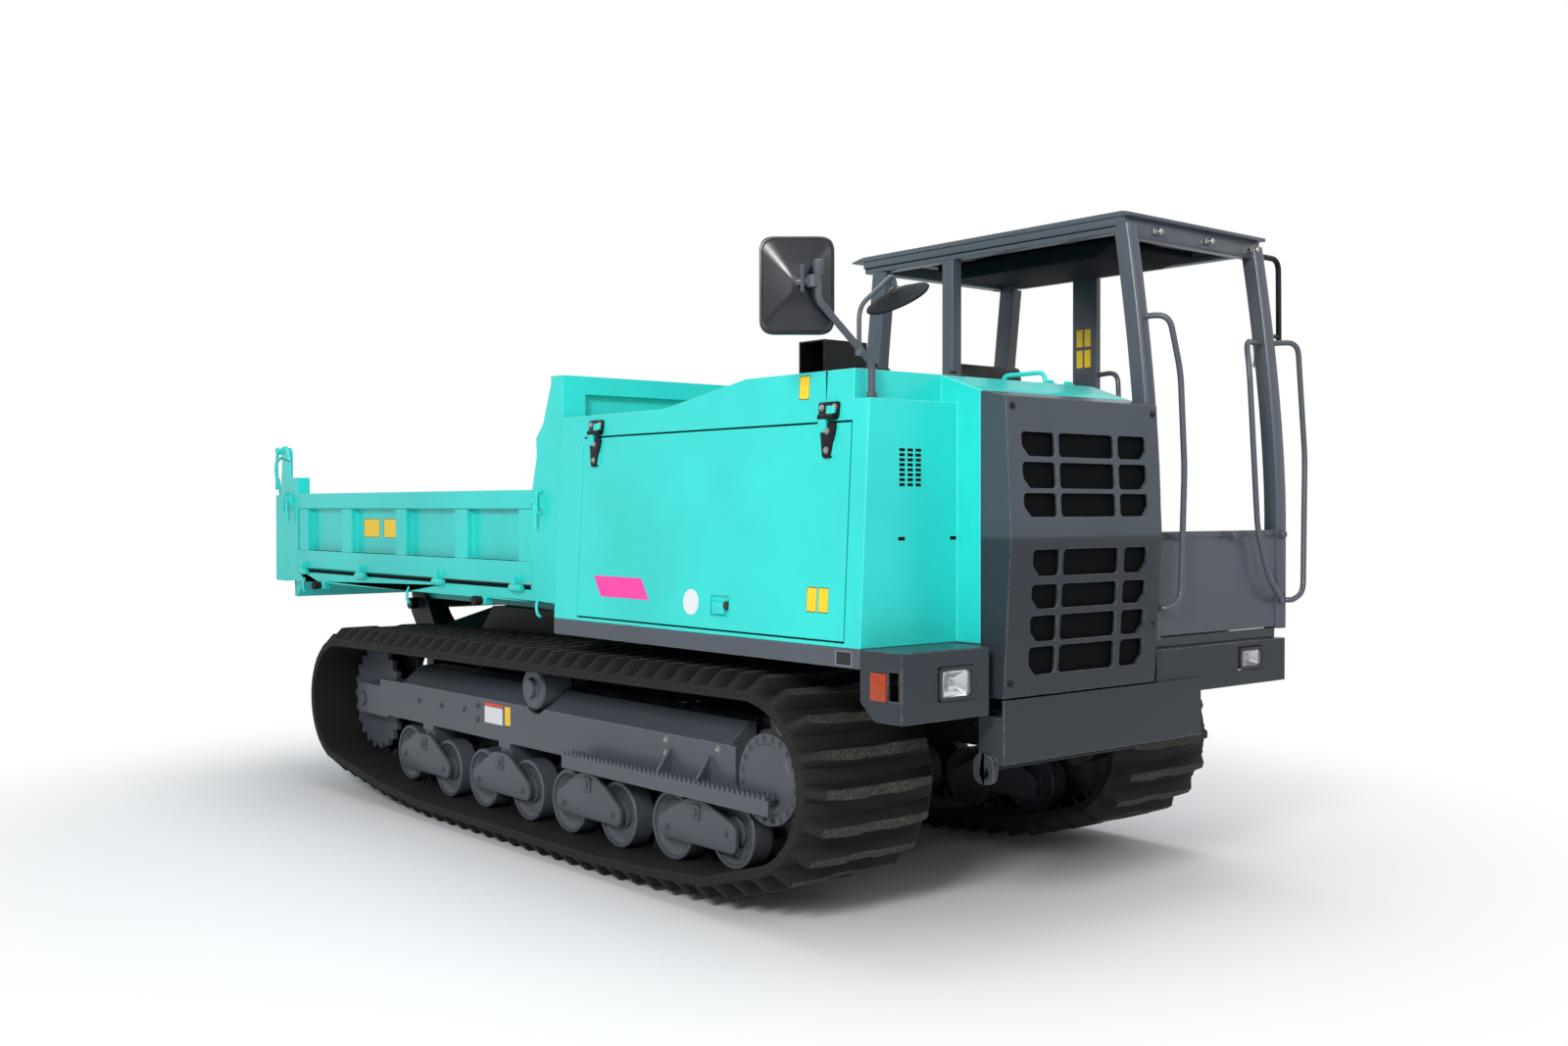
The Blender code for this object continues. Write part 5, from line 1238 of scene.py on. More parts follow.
@dataclass
class Hood:
    """Engine hood with its door, hinges, films and outlet."""

    model: Model
    repeat: Repeat
    side: float = 1.08
    lean: float = 0.045
    foot: float = 0.981
    top: float = 1.86
    front: float = 2.281

    def wall(self, z: float) -> float:
        """Y of the leaning side at a height."""
        return -self.side + self.lean * (z - self.foot) / (self.top - self.foot)

    def patch(self, name: str, corners: Sequence[Flat], finish: Finish, body: Body,
              border: float = 0.0) -> None:
        """Film on the leaning side, with its corners in (x, z)."""
        film(name, [(x, self.wall(z), z) for x, z in corners], -1, finish, border, body=body,
             slot=Slot.GREEN)

    def layers(self, outlines: Sequence[tuple[float, Sequence[Flat]]]) -> list[list[Spot]]:
        """Outlines in (x, z) at distances from the leaning side."""
        return [[(u, self.wall(v) + depth, v) for u, v in line] for depth, line in outlines]

    def build_sheets(self) -> None:
        """Hood, door and outlet with rounded folds."""
        self.model.softened("hood_shell", 0.004, GREEN)
        self.model.softened("hood_door", 0.0025, GREEN, body=Body.DOOR)
        self.model.softened("air_outlet", 0.002, DARK, slot=Slot.GREY)

    def build_hinges(self) -> None:
        """Black strap hinges of the door."""
        bolts = Fasteners(self.repeat, "door_hinge_bolts", STEEL, Body.DOOR)
        leaf_bolts = Fasteners(self.repeat, "hood_hinge_bolts", STEEL)
        axis = (self.wall(1.71) - 0.012, 1.71)
        radius, reach = 0.0112, 0.0365
        for index, x in enumerate((0.75, 2.10), start=1):
            outline = rounded_outline([(x - 0.020, 1.578), (x + 0.020, 1.578), (x + 0.038, 1.692),
                                       (x - 0.038, 1.692)], 0.014)
            strap = Form().rings(self.layers([(0.002, outline), (-0.0105, outline)])).bevel(0.002)
            strap.lathe([(radius, x - reach), (radius, x - KNUCKLE_GAP)], axis, Axis.X, 24)
            strap.piece(f"door_hinge_{index}", DARK, body=Body.DOOR)
            outline = rounded_outline([(x - 0.045, 1.701), (x + 0.045, 1.701), (x + 0.050, 1.758),
                                       (x - 0.050, 1.758)], 0.012)
            leaf = Form().rings(self.layers([(0.002, outline), (-0.008, outline)])).bevel(0.002)
            leaf.lathe([(radius, x + KNUCKLE_GAP), (radius, x + reach)], axis, Axis.X, 24)
            leaf.piece(f"hood_hinge_{index}", DARK)
            bolts.add(Aim.RIGHT, *[(x, self.wall(z) - 0.0103, z) for z in (1.665, 1.603)])
            leaf_bolts.add(Aim.RIGHT, *[(x + s, self.wall(1.74) - 0.008, 1.74)
                                        for s in (-0.030, 0.030)])
        bolts.set(hex_bolt(0.0085))
        leaf_bolts.set(hex_bolt(0.0085))

    def build_latch(self) -> None:
        """Door's latch with its tongue and lock, set into the recess of the door, whose back is a
        dark sheet of painted shade.
        """
        y = self.wall(1.08)
        x, z, inset, rim = (1.515, 1.620), (1.046, 1.118), 0.0008, 0.004
        # Painted shade: a dark sheet at the back of the recess.
        well = Form().box((x[0] + inset, x[1] - inset), (y + 0.0135, y + 0.0150),
                          (z[0] + inset, z[1] - inset))
        well.piece("door_latch_well", PAINTED_SHADE, body=Body.DOOR)
        outer = rectangle((x[0] - rim, x[1] + rim), (z[0] - rim, z[1] + rim))
        inner = rectangle(x, z)
        lip = Form().rings(self.layers([(0.002, outer), (-0.0022, outer), (-0.0022, inner),
                                        (0.002, inner)]), loop=True)
        lip.piece("door_latch_lip", GREEN, body=Body.DOOR)
        outline = rounded_outline(rectangle((1.521, 1.590), (1.053, 1.094)), 0.006)
        tongue = Form().prism(outline, Axis.Y, y - 0.0005, y + 0.0140)
        tongue.bevel(0.002).piece("door_latch_tongue", GREEN, body=Body.DOOR)
        lock = Form().lathe([(0.015, y + 0.0140), (0.015, y - 0.001), (0.011, y - 0.003)],
                            (1.600, 1.084), count=28)
        lock.piece("door_lock", BLACK_PLASTIC, body=Body.DOOR)

    def build_films(self) -> None:
        """Colour fields and blank films of the door and hood, and a dark strip of painted shade
        along the hood's seam.
        """
        self.patch("door_stripe", [(0.825, 1.082), (1.142, 1.082), (1.087, 1.160), (0.771, 1.160)],
                   PINK, Body.DOOR)
        disc = [(1.400 + 0.045 * math.cos(a), 1.088 + 0.045 * math.sin(a))
                for a in (2 * math.pi * k / 40 for k in range(40))]
        self.patch("door_disc", disc, WHITE, Body.DOOR)
        for name, x, z, body in (("door_film_1", (2.022, 2.071), (1.085, 1.166), Body.DOOR),
                                 ("door_film_2", (2.079, 2.127), (1.085, 1.166), Body.DOOR),
                                 ("hood_film", (1.946, 1.996), (1.772, 1.850), Body.CHASSIS)):
            self.patch(name, rectangle(x, z), YELLOW, body, 0.07)
        # Painted shade: a dark strip along the seam in the hood's side.
        y = self.wall(1.81)
        Form().prism(rectangle((2.079, 2.0815), (1.767, 1.8575)), Axis.Y, y - 0.0022,
                     y + 0.003).piece("hood_seam", PAINTED_SHADE)

    def build_vents(self) -> None:
        """Small slots in the front of the hood's wing, drawn as dark patches of painted shade."""
        rows = [(self.front, y, 1.604 - k * 0.0158) for y in (-0.898, -0.862, -0.826)
                for k in range(8)]
        holes = [(self.front, y, 1.322) for y in (-0.900, -0.665)]
        # Painted shade: each slot is a dark patch that stands for the shade inside it.
        for name, half, corner, spots in (("hood_vent_slots", (0.0125, 0.0048), 0.0045, rows),
                                          ("hood_lift_slots", (0.015, 0.006), 0.006, holes)):
            outline = rectangle((-half[0], half[0]), (-half[1], half[1]))
            slot = Form().prism(rounded_outline(outline, corner), Axis.X, -0.002, 0.0006)
            self.repeat.points(name, slot.object("slot"), spots, PAINTED_SHADE)

    def build_handle(self) -> None:
        """Bar on the hood's top with its feet, catches beside it and round covers."""
        z = self.top
        rail = Form().tube([(1.87, 0.03, z - 0.003), (1.88, 0.03, z + 0.055),
                            (2.075, 0.03, z + 0.055), (2.085, 0.03, z - 0.003)], 0.0085, 0.03)
        rail.piece("hood_handle", GREEN)
        feet = Form()
        for x in (1.87, 2.085):
            feet.lathe([(0.018, z - 0.001), (0.018, z + 0.003), (0.012, z + 0.005)], (x, 0.03),
                       Axis.Z, 24)
        feet.piece("hood_handle_feet", GREEN)
        catches = Form()
        for x, y in ((2.150, 0.075), (2.150, -0.03)):
            catches.box((x - 0.022, x + 0.022), (y - 0.010, y + 0.010), (z - 0.002, z + 0.008))
            catches.lathe([(0.007, y - 0.018), (0.007, y + 0.018)], (x, z + 0.012), Axis.Y, 16)
        catches.bevel(0.0015, 2, 50).piece("hood_catches", GREEN)
        covers = Form()
        for x, y in ((2.150, -0.895), (2.140, -0.52)):
            covers.lathe([(0.052, z - 0.001), (0.052, z + 0.006), (0.047, z + 0.010),
                          (0.018, z + 0.012)],
                         (x, y), Axis.Z, 40)
            covers.lathe([(0.013, z + 0.011), (0.013, z + 0.022), (0.009, z + 0.026)], (x, y),
                         Axis.Z, 6)
        covers.piece("hood_covers", DARK, crease=25.0)

    def build(self) -> None:
        """Make the hood."""
        self.build_sheets()
        self.build_hinges()
        self.build_latch()
        self.build_films()
        self.build_vents()
        self.build_handle()


# Front

@dataclass
class Front:
    """Grille, bumpers, lamps and low panel."""

    model: Model
    repeat: Repeat

    def build_grille(self) -> None:
        """Grille housing with painted shade in its paint, the radiator's fins behind it and a dark
        sheet of painted shade behind its openings.
        """
        # Painted shade: the housing's paint is darker at the front and below its fold.
        self.model.softened("grille", 0.003, SHADED_FRONT_GREY)
        core = Form().box((2.335, 2.392), (-0.598, 0.088), (0.985, 1.715))
        core.piece("radiator_core", SCREEN, "radiator")
        fin = Form().box((-0.004, 0.0), (-0.0012, 0.0012), (-0.36, 0.36)).object("fin")
        spots = [(2.399, -0.590 + k * 0.010, 1.35) for k in range(68)]
        self.repeat.points("radiator_fins", fin, spots, SCREEN, "radiator")
        # Painted shade: a dark sheet just behind the grille's openings.
        screen = Form()
        right, left = -0.633, 0.126
        for low, high, foot, head in ((0.826, 1.318, 2.466, 2.496), (1.334, 1.762, 2.496, 2.471)):
            screen.rings([[(foot - back, right, low), (head - back, right, high),
                           (head - back, left, high), (foot - back, left, low)]
                          for back in (0.003, 0.0)])
        screen.piece("grille_screen", PAINTED_SHADE)
        bolts = Fasteners(self.repeat, "grille_bolts", DARK)
        bolts.add(Aim.FRONT, (2.4925, -0.617, 1.745), (2.4925, 0.112, 1.745),
                  (2.4875, -0.617, 0.86), (2.4935, 0.112, 1.02))
        bolts.set(dome_bolt(0.012))

    def build_lamps(self) -> None:
        """Headlamps with rim, bowl, bulb and fluted lens, and the turn lamp."""
        for label, y, z in (("right", (-0.918, -0.772), (0.828, 0.924)),
                            ("left", (0.690, 0.834), (0.818, 0.892))):
            node = f"headlamp_{label}"
            outer = rounded_outline(rectangle((y[0] - 0.005, y[1] + 0.005),
                                              (z[0] - 0.004, z[1] + 0.004)), 0.016)
            inner = rounded_outline(rectangle((y[0] + 0.007, y[1] - 0.007),
                                              (z[0] + 0.007, z[1] - 0.007)), 0.012)
            middle = ((y[0] + y[1]) / 2, (z[0] + z[1]) / 2)

            def smaller(x: float, wide: float, high: float) -> list[Spot]:
                """Inner outline at an x, drawn in to its middle."""
                return [(x, middle[0] + (u - middle[0]) * wide, middle[1] + (v - middle[1]) * high)
                        for u, v in inner]

            Form().rings([[(x, u, v) for u, v in line] for x, line in (
                (2.425, outer), (2.468, outer), (2.4718, outer), (2.4718, inner), (2.455, inner),
                (2.425, inner))], loop=True).piece(f"headlamp_rim_{label}", BLACK_PLASTIC, node)
            Form().rings([smaller(x, share, share) for share, x in (
                (0.99, 2.420), (0.99, 2.449), (0.90, 2.449), (0.62, 2.436), (0.25, 2.4265),
                (0.05, 2.4255))]).piece(f"headlamp_bowl_{label}", REFLECTOR, node, crease=50.0)
            Form().lathe([(0.011, 2.427), (0.011, 2.441), (0.006, 2.447)], middle, Axis.X,
                         20).piece(f"headlamp_bulb_{label}", STEEL, node)
            Form().rings([[(2.4525, u, v) for u, v in inner], [(2.4655, u, v) for u, v in inner],
                          smaller(2.4712, 0.9, 0.86)]).piece(f"headlamp_lens_{label}", LENS, node)
        outline = rounded_outline(rectangle((2.3295, 2.3995), (0.8285, 0.9155)), 0.006)
        Form().prism(outline, Axis.Y, -1.0840, -1.0745).bevel(0.0025).piece("turn_lamp", AMBER)

    def build_bumpers(self) -> None:
        """Bumpers and low panel in slate paint with painted shade, deck, chassis and blank plate.
        """
        # Painted shade: the bumpers and low panel take the darker slate paint of the front.
        for node in ("bumper_right", "bumper_left", "front_skirt"):
            self.model.softened(node, 0.004, SHADED_FRONT_GREY)
        self.model.softened("deck", 0.003, GREY)
        self.model.softened("chassis_frame", 0.004, DARK,
                            Lowered((-2.02, -1.26), (0.62, 0.96), 0.54, 0.13))
        film("rail_plate", upright((2.168, 2.246), -1.08, (0.925, 0.972)), -1, PLATE, 0.12)

    def build(self) -> None:
        """Make the front."""
        self.build_grille()
        self.build_lamps()
        self.build_bumpers()


# Operator's place

@dataclass
class OperatorPlace:
    """Canopy, front panel, seat, console and mirrors."""

    model: Model
    repeat: Repeat
    right: float = 0.15
    left: float = 1.01
    post: float = 0.062
    tube: float = 0.0108

    @property
    def middles(self) -> Flat:
        """Y of the middles of the right and left posts."""
        return self.right + self.post / 2, self.left - self.post / 2

    def post_line(self) -> list[Vector]:
        """Middle line of a front post in (x, z): upright, then curving back to the roof."""
        foot, knee, head = Vector((2.430, 0.9555)), 1.39, Vector((2.322, 2.4345))
        line = [foot]
        for share in (k / 12 for k in range(13)):
            line.append(Vector((foot.x - (foot.x - head.x) * share ** 1.6,
                                knee + (head.y - knee) * share)))
        return line

    def build_posts(self) -> None:
        """Front, middle and rear posts."""
        half = self.post / 2
        foot, head = 0.9555, 2.4095
        rear = [Vector(p) for p in ((1.02, foot), (1.02, 1.86), (1.035, 2.05), (1.075, head))]
        posts = Form()
        for y in self.middles:
            posts.sweep(self.post_line(), y, (half + 0.004, half), 0.018)
            posts.sweep(rear, y, (0.040, half), 0.007)
        for x, y, size, corner in ((1.47, self.right + 0.0275, (0.030, 0.0275), 0.008),
                                   (1.495, self.left - 0.015, (0.065, 0.015), 0.004)):
            posts.sweep([Vector((x, foot)), Vector((x, head))], y, size, corner)
        posts.piece("canopy_posts", GREY, "canopy_frame", crease=30.0)

    def build_header(self) -> None:
        """Rails under the roof, with a dark strip of painted shade along their seam."""
        half = self.post / 2
        rails = Form()
        for y in self.middles:
            rails.box((0.98, 2.33), (y - half, y + half), (2.4335, 2.462))
            rails.box((0.99, 2.325), (y - half + 0.004, y + half - 0.004), (2.41, 2.4305))
        rails.box((0.984, 1.042), (self.right + 0.006, self.left - 0.006), (2.4125, 2.4605))
        rails.prism([(2.300, 2.462), (2.340, 2.462), (2.336, 2.400), (2.343, 2.396), (2.341, 2.392),
                     (2.300, 2.392)], Axis.Y, self.right + 0.003, self.left - 0.003)
        for x in (1.20, 1.47, 1.95, 2.20):
            rails.box((x - 0.02, x + 0.02), (self.right + 0.01, self.left - 0.01), (2.432, 2.461))
        rails.bevel(0.0035).piece("canopy_rails", GREY, "canopy_frame")
        # Painted shade: a dark strip in the seam between the rail's upper and lower boxes.
        seam = Form()
        for y in (self.right + 0.0025, self.left - 0.0055):
            seam.box((0.985, 2.32), (y, y + 0.003), (2.4305, 2.4335))
        seam.piece("canopy_seam", PAINTED_SHADE, "canopy_frame")

    def build_grab_rails(self) -> None:
        """Bent tubes on the front posts and on the left middle post."""
        right, left = self.middles
        x = 2.41
        paths = [
            [(x - 0.03, right, 2.10), (x + 0.070, right + 0.045, 2.105),
             (x + 0.090, right + 0.085, 1.90), (x + 0.100, right + 0.095, 1.56),
             (x + 0.095, right + 0.083, 1.10), (x + 0.090, right + 0.020, 1.066),
             (x + 0.045, right, 1.066)],
            [(x - 0.04, left - 0.01, 2.06), (x + 0.03, left - 0.215, 2.05),
             (x + 0.055, left - 0.230, 1.93), (x + 0.080, left - 0.213, 1.34),
             (x + 0.090, left - 0.157, 1.16), (x + 0.090, left - 0.060, 1.066),
             (x + 0.045, left - 0.010, 1.066)],
            [(x - 0.04, left, 2.06), (x + 0.03, left + 0.140, 2.07),
             (x + 0.050, left + 0.160, 1.62), (x + 0.075, left + 0.110, 1.09),
             (x + 0.085, left + 0.015, 1.064),
             (x + 0.045, left, 1.066)],
            [(1.50, left + 0.02, 1.99), (1.66, left + 0.02, 2.0), (1.67, left + 0.02, 1.75),
             (1.50, left + 0.02, 1.74)],
        ]
        for index, path in enumerate(paths, start=1):
            Form().tube(path, self.tube).piece(f"grab_rail_{index}", GREY, "canopy_frame")

    def build_roof(self) -> None:
        """Roof sheet, its lining and the front panel."""
        roof = Form().prism([(0.91, 2.4625), (0.91, 2.468), (0.98, 2.482), (2.335, 2.482),
                             (2.364, 2.475),
                             (2.364, 2.4625)], Axis.Y, self.right - 0.004, self.left + 0.004)
        roof.bevel(0.0025).piece("roof_sheet", GREY, "roof_panel")
        lining = Form()
        stages = [(2.430, 0.0, 0.0, 0.0), (2.405, 0.0, 0.0, 0.0), (2.372, 0.075, 0.11, 0.05)]
        lining.rings([[(1.25 + a, 0.32 + s, z), (2.15 - b, 0.32 + s, z), (2.15 - b, 0.84 - s, z),
                       (1.25 + a, 0.84 - s, z)] for z, a, b, s in stages])
        lining.bevel(0.008, 3).piece("roof_lining_box", LINING, "roof_lining")
        self.model.softened("cab_front_panel", 0.002, GREY)

    def build_brackets(self) -> None:
        """Clamps and knobs of a front screen, and feet of the right posts."""
        clamp = Form()
        clamp.lathe([(0.009, -0.012), (0.009, 0.012), (0.012, 0.013), (0.012, 0.019),
                     (0.007, 0.023)], (0, 0), Axis.X, 20)
        clamp.box((-0.004, 0.003), (-0.022, 0.022), (-0.010, 0.010))
        clamp.bevel(0.001, 1, 50)
        spots = [(2.344, y, 2.426) for y in (0.34, 0.66, 0.96)]
        self.repeat.points("header_clamps", clamp.object("clamp"), spots, STEEL, "canopy_frame")
        knob = Form()
        knob.lathe([(0.0128, -0.020), (0.0128, 0.004), (0.0165, 0.006), (0.0165, 0.020),
                    (0.012, 0.024)],
                   (0, 0), Axis.X, 24)
        spots = [(2.4665, y, 1.318) for y in (0.274, 0.625, 0.955)]
        self.repeat.points("panel_knobs", knob.object("knob"), spots, CAST)
        feet = Form()
        low = 1.86
        for place in (1.50, 1.045):
            feet.prism([(place - 0.045, low), (place + 0.075, low), (place + 0.055, low + 0.045),
                        (place + 0.02, low + 0.075),
                        (place - 0.02, low + 0.075)], Axis.Y, 0.135, 0.149)
            for bolt in ((place - 0.012, low + 0.045), (place + 0.040, low + 0.022)):
                feet.lathe([(0.012, 0.124), (0.012, 0.136)], bolt, Axis.Y, 6)
        feet.bevel(0.002, 1, 50).piece("post_feet", GREY)

    def build_films(self) -> None:
        """Blank films on the left middle post."""
        places = [(x, z) for z in (2.115, 2.025) for x in (1.452, 1.495)]
        for index, (x, z) in enumerate(places, start=1):
            film(f"post_film_{index}", upright((x, x + 0.036), 0.98, (z, z + 0.082)), -1, YELLOW,
                 0.08)

    def cushion(self, name: str, outline: Sequence[Flat], y: Span) -> None:
        """Padded piece of the seat, swollen by a cloth simulation.

        Args:
            name: its name.
            outline: side outline in (x, z).
            y: its width.
        """
        pad = Form().prism(rounded_outline(outline, 0.035, 4), Axis.Y, *y)
        pad.bevel(0.018, 3)
        piece = pad.object(name, 60.0)
        remesh = piece.modifiers.new("remesh", "REMESH")
        remesh.mode = "VOXEL"
        remesh.voxel_size = 0.008
        applied(piece)
        rest = [v.co.copy() for v in piece.data.vertices]
        cloth = piece.modifiers.new("cloth", "CLOTH")
        cloth.settings.use_pressure = True
        cloth.settings.uniform_pressure_force = 4.0
        cloth.settings.effector_weights.gravity = 0.0
        scene = bpy.context.scene
        for number in range(1, 21):
            scene.frame_set(number)
        applied(piece)
        scene.frame_set(1)
        for vertex, start in zip(piece.data.vertices, rest):
            motion = vertex.co - start
            if motion.length > 0.010:
                vertex.co = start + motion.normalized() * 0.010
        piece.data.shade_smooth()
        dress(piece, VINYL, "seat")

    def build_seat(self) -> None:
        """Seat with padded cushion and back on its base."""
        for name, outline in (
                ("seat_cushion", [(1.32, 1.29), (1.82, 1.29), (1.84, 1.385), (1.35, 1.36)]),
                ("seat_back", [(1.29, 1.375), (1.38, 1.385), (1.275, 2.045), (1.215, 2.035)])):
            self.cushion(name, outline, (0.37, 0.83))
        base = Form().box((1.38, 1.76), (0.40, 0.80), (0.957, 1.285))
        base.bevel(0.01)
        base.box((1.32, 1.80), (0.39, 0.81), (1.280, 1.298))
        for y in ((0.42, 0.46), (0.74, 0.78)):
            base.box((1.225, 1.285), y, (1.30, 1.60))
        base.piece("seat_base", BLACK_PLASTIC, "seat")

    def build_console(self) -> None:
        """Control tower with levers, knobs and boots, behind the front panel."""
        body = Form().prism([(2.105, 0.957), (2.355, 0.957), (2.355, 1.20), (2.30, 1.225),
                             (2.105, 1.145)],
                            Axis.Y, 0.405, 0.795)
        body.bevel(0.012, 3).piece("console_tower", BLACK_PLASTIC, "console")
        for index, y in enumerate((0.54, 0.66), start=1):
            lever = Form().tube([(2.17, y, 1.15), (2.13, y, 1.26), (2.14, y, 1.30)], 0.007)
            lever.piece(f"lever_{index}", STEEL, "console")
            boot = Form().lathe([(0.034, 1.165), (0.030, 1.187), (0.024, 1.191), (0.026, 1.201),
                                 (0.018, 1.209), (0.010, 1.217)], (2.158, y), Axis.Z, 24)
            boot.piece(f"lever_boot_{index}", VINYL, "console")
            knob = Form().lathe([(0.009, 1.284), (0.018, 1.292), (0.020, 1.305), (0.015, 1.320),
                                 (0.006, 1.325)], (2.139, y), Axis.Z, 24)
            knob.piece(f"lever_knob_{index}", BLACK_PLASTIC, "console")

    def build_right_mirror(self) -> None:
        """Right mirror with its arm and clip."""
        foot, top = (2.245, -0.996), (2.245, -1.219)
        arm = Form().tube([(*foot, 1.7643), (*foot, 1.8743), (*top, 2.052), (*top, 2.16)], 0.0115,
                          0.025)
        arm.lathe([(0.022, 1.7645), (0.022, 1.768), (0.016, 1.770), (0.016, 1.784), (0.013, 1.786)],
                  foot, Axis.Z, 6)
        arm.lathe([(0.017, 2.150), (0.0175, 2.153), (0.0175, 2.172), (0.014, 2.175)], top, Axis.Z,
                  24)
        arm.tube([(*top, 2.11), (2.190, -1.262, 2.11)], 0.012)
        arm.lathe([(0.020, 2.092), (0.020, 2.128)], (top[0] - 0.010, top[1] - 0.012), Axis.Z, 20)
        arm.lathe([(0.015, 2.125), (0.0165, 2.128), (0.0165, 2.160), (0.015, 2.162)], top, Axis.Z,
                  16)
        arm.piece("mirror_arm_right", CAST, "mirror_right", slot=Slot.BLACK)
        clip = Form().box((2.226, 2.230), (-1.276, -1.262), (2.075, 2.158))
        clip.bevel(0.001, 1).piece("mirror_clip_right", CAST, "mirror_right", slot=Slot.METAL)
        self.mirror_head("right", Vector((2.152, -1.226, 2.106)), -0.70, (0.232, 0.304), 0.048,
                         0.040)

    def build_round_mirror(self) -> None:
        """Round mirror on its bent rod."""
        rod = Form().tube([(2.245, -1.05, 1.905), (2.245, -1.05, 2.047), (2.245, -0.902, 2.163),
                           (2.245, -0.890, 2.104)], 0.0076, 0.04)
        rod.lathe([(0.012, 1.895), (0.012, 1.925)], (2.245, -1.05), Axis.Z, 16)
        rod.piece("round_mirror_rod", GREY, "mirror_right")
        way = Vector((-0.010, -0.522, 0.853)).to_track_quat("Y", "X")
        turn = Matrix.Translation((2.245, -0.882, 2.086)) @ way.to_matrix().to_4x4()
        dome = Form().lathe([(0.090, -0.0035), (0.104, -0.0042), (0.1085, 0.0), (0.106, 0.0045),
                             (0.096, 0.006), (0.064, 0.019), (0.034, 0.0262),
                             (0.012, 0.0285)], (0, 0), count=56)
        dome.turn(turn).piece("round_mirror_shell", SCREEN, "mirror_right", slot=Slot.PLASTIC,
                              crease=40.0)
        glass = Form().lathe([(0.089, -0.0036), (0.060, -0.0062), (0.02, -0.0072)], (0, 0),
                             count=56)
        glass.turn(turn).piece("round_mirror_glass", MIRROR, "mirror_right", crease=60.0)
        boss = Form().lathe([(0.024, 0.020), (0.022, 0.034), (0.014, 0.040)], (0, 0), count=24)
        boss.turn(turn).piece("round_mirror_boss", BLACK_PLASTIC, "mirror_right")

    def build_left_mirror(self) -> None:
        """Left mirror on its arm from the roof."""
        out, x = 1.345, 2.23
        arm = Form().tube([(x, self.left + 0.001, 2.44), (x, out - 0.03, 2.44),
                           (x, out - 0.025, 2.10)], 0.0115)
        arm.tube([(x, out - 0.025, 2.125), (2.237, 1.235, 2.118)], 0.009)
        arm.piece("mirror_arm_left", DARK, "mirror_left")
        self.mirror_head("left", Vector((2.20, 1.20, 2.113)), 0.62, (0.17, 0.232), 0.04, 0.036)

    def mirror_head(self, label: str, place: Vector, yaw: float, size: Flat, corner: float,
                    depth: float) -> None:
        """Shell and glass of one mirror.

        Args:
            label: side of the machine.
            place: its middle.
            yaw: angle in radians that turns the glass from the rear.
            size: width and height.
            corner: radius of its corners.
            depth: how far the shell reaches from the glass.
        """
        turn = Matrix.Translation(place) @ Matrix.Rotation(yaw, 4, "Z")
        u, v = size[0] / 2, size[1] / 2
        outline = rounded_outline(rectangle((-u, u), (-v, v)), corner, 8)
        levels = ((-0.0100, 0.90), (-0.0118, 0.955), (-0.0100, 0.985), (-0.0040, 1.0),
                  (0.0060, 1.0), (0.0125, 0.975), (0.0130, 0.945), (0.0105, 0.915),
                  (0.70 * depth, 0.50), (depth, 0.16))
        shell = Form().rings([[(x, a * share, b * share) for a, b in outline]
                              for x, share in levels])
        shell.turn(turn).piece(f"mirror_shell_{label}", GLOSS, f"mirror_{label}", crease=14.0)
        glass = Form().rings([[(x, a * 0.90, b * 0.90) for a, b in outline]
                              for x in (-0.0112, -0.0095)])
        glass.turn(turn).piece(f"mirror_glass_{label}", MIRROR, f"mirror_{label}")

    def build(self) -> None:
        """Make the operator's place."""
        self.build_posts()
        self.build_header()
        self.build_grab_rails()
        self.build_roof()
        self.build_brackets()
        self.build_films()
        self.build_seat()
        self.build_console()
        self.build_right_mirror()
        self.build_round_mirror()
        self.build_left_mirror()


def applied(piece: bpy.types.Object) -> None:
    """Replace a piece's mesh by the result of its modifiers."""
    graph = bpy.context.evaluated_depsgraph_get()
    mesh = bpy.data.meshes.new_from_object(piece.evaluated_get(graph))
    piece.modifiers.clear()
    piece.data = mesh


# Bed

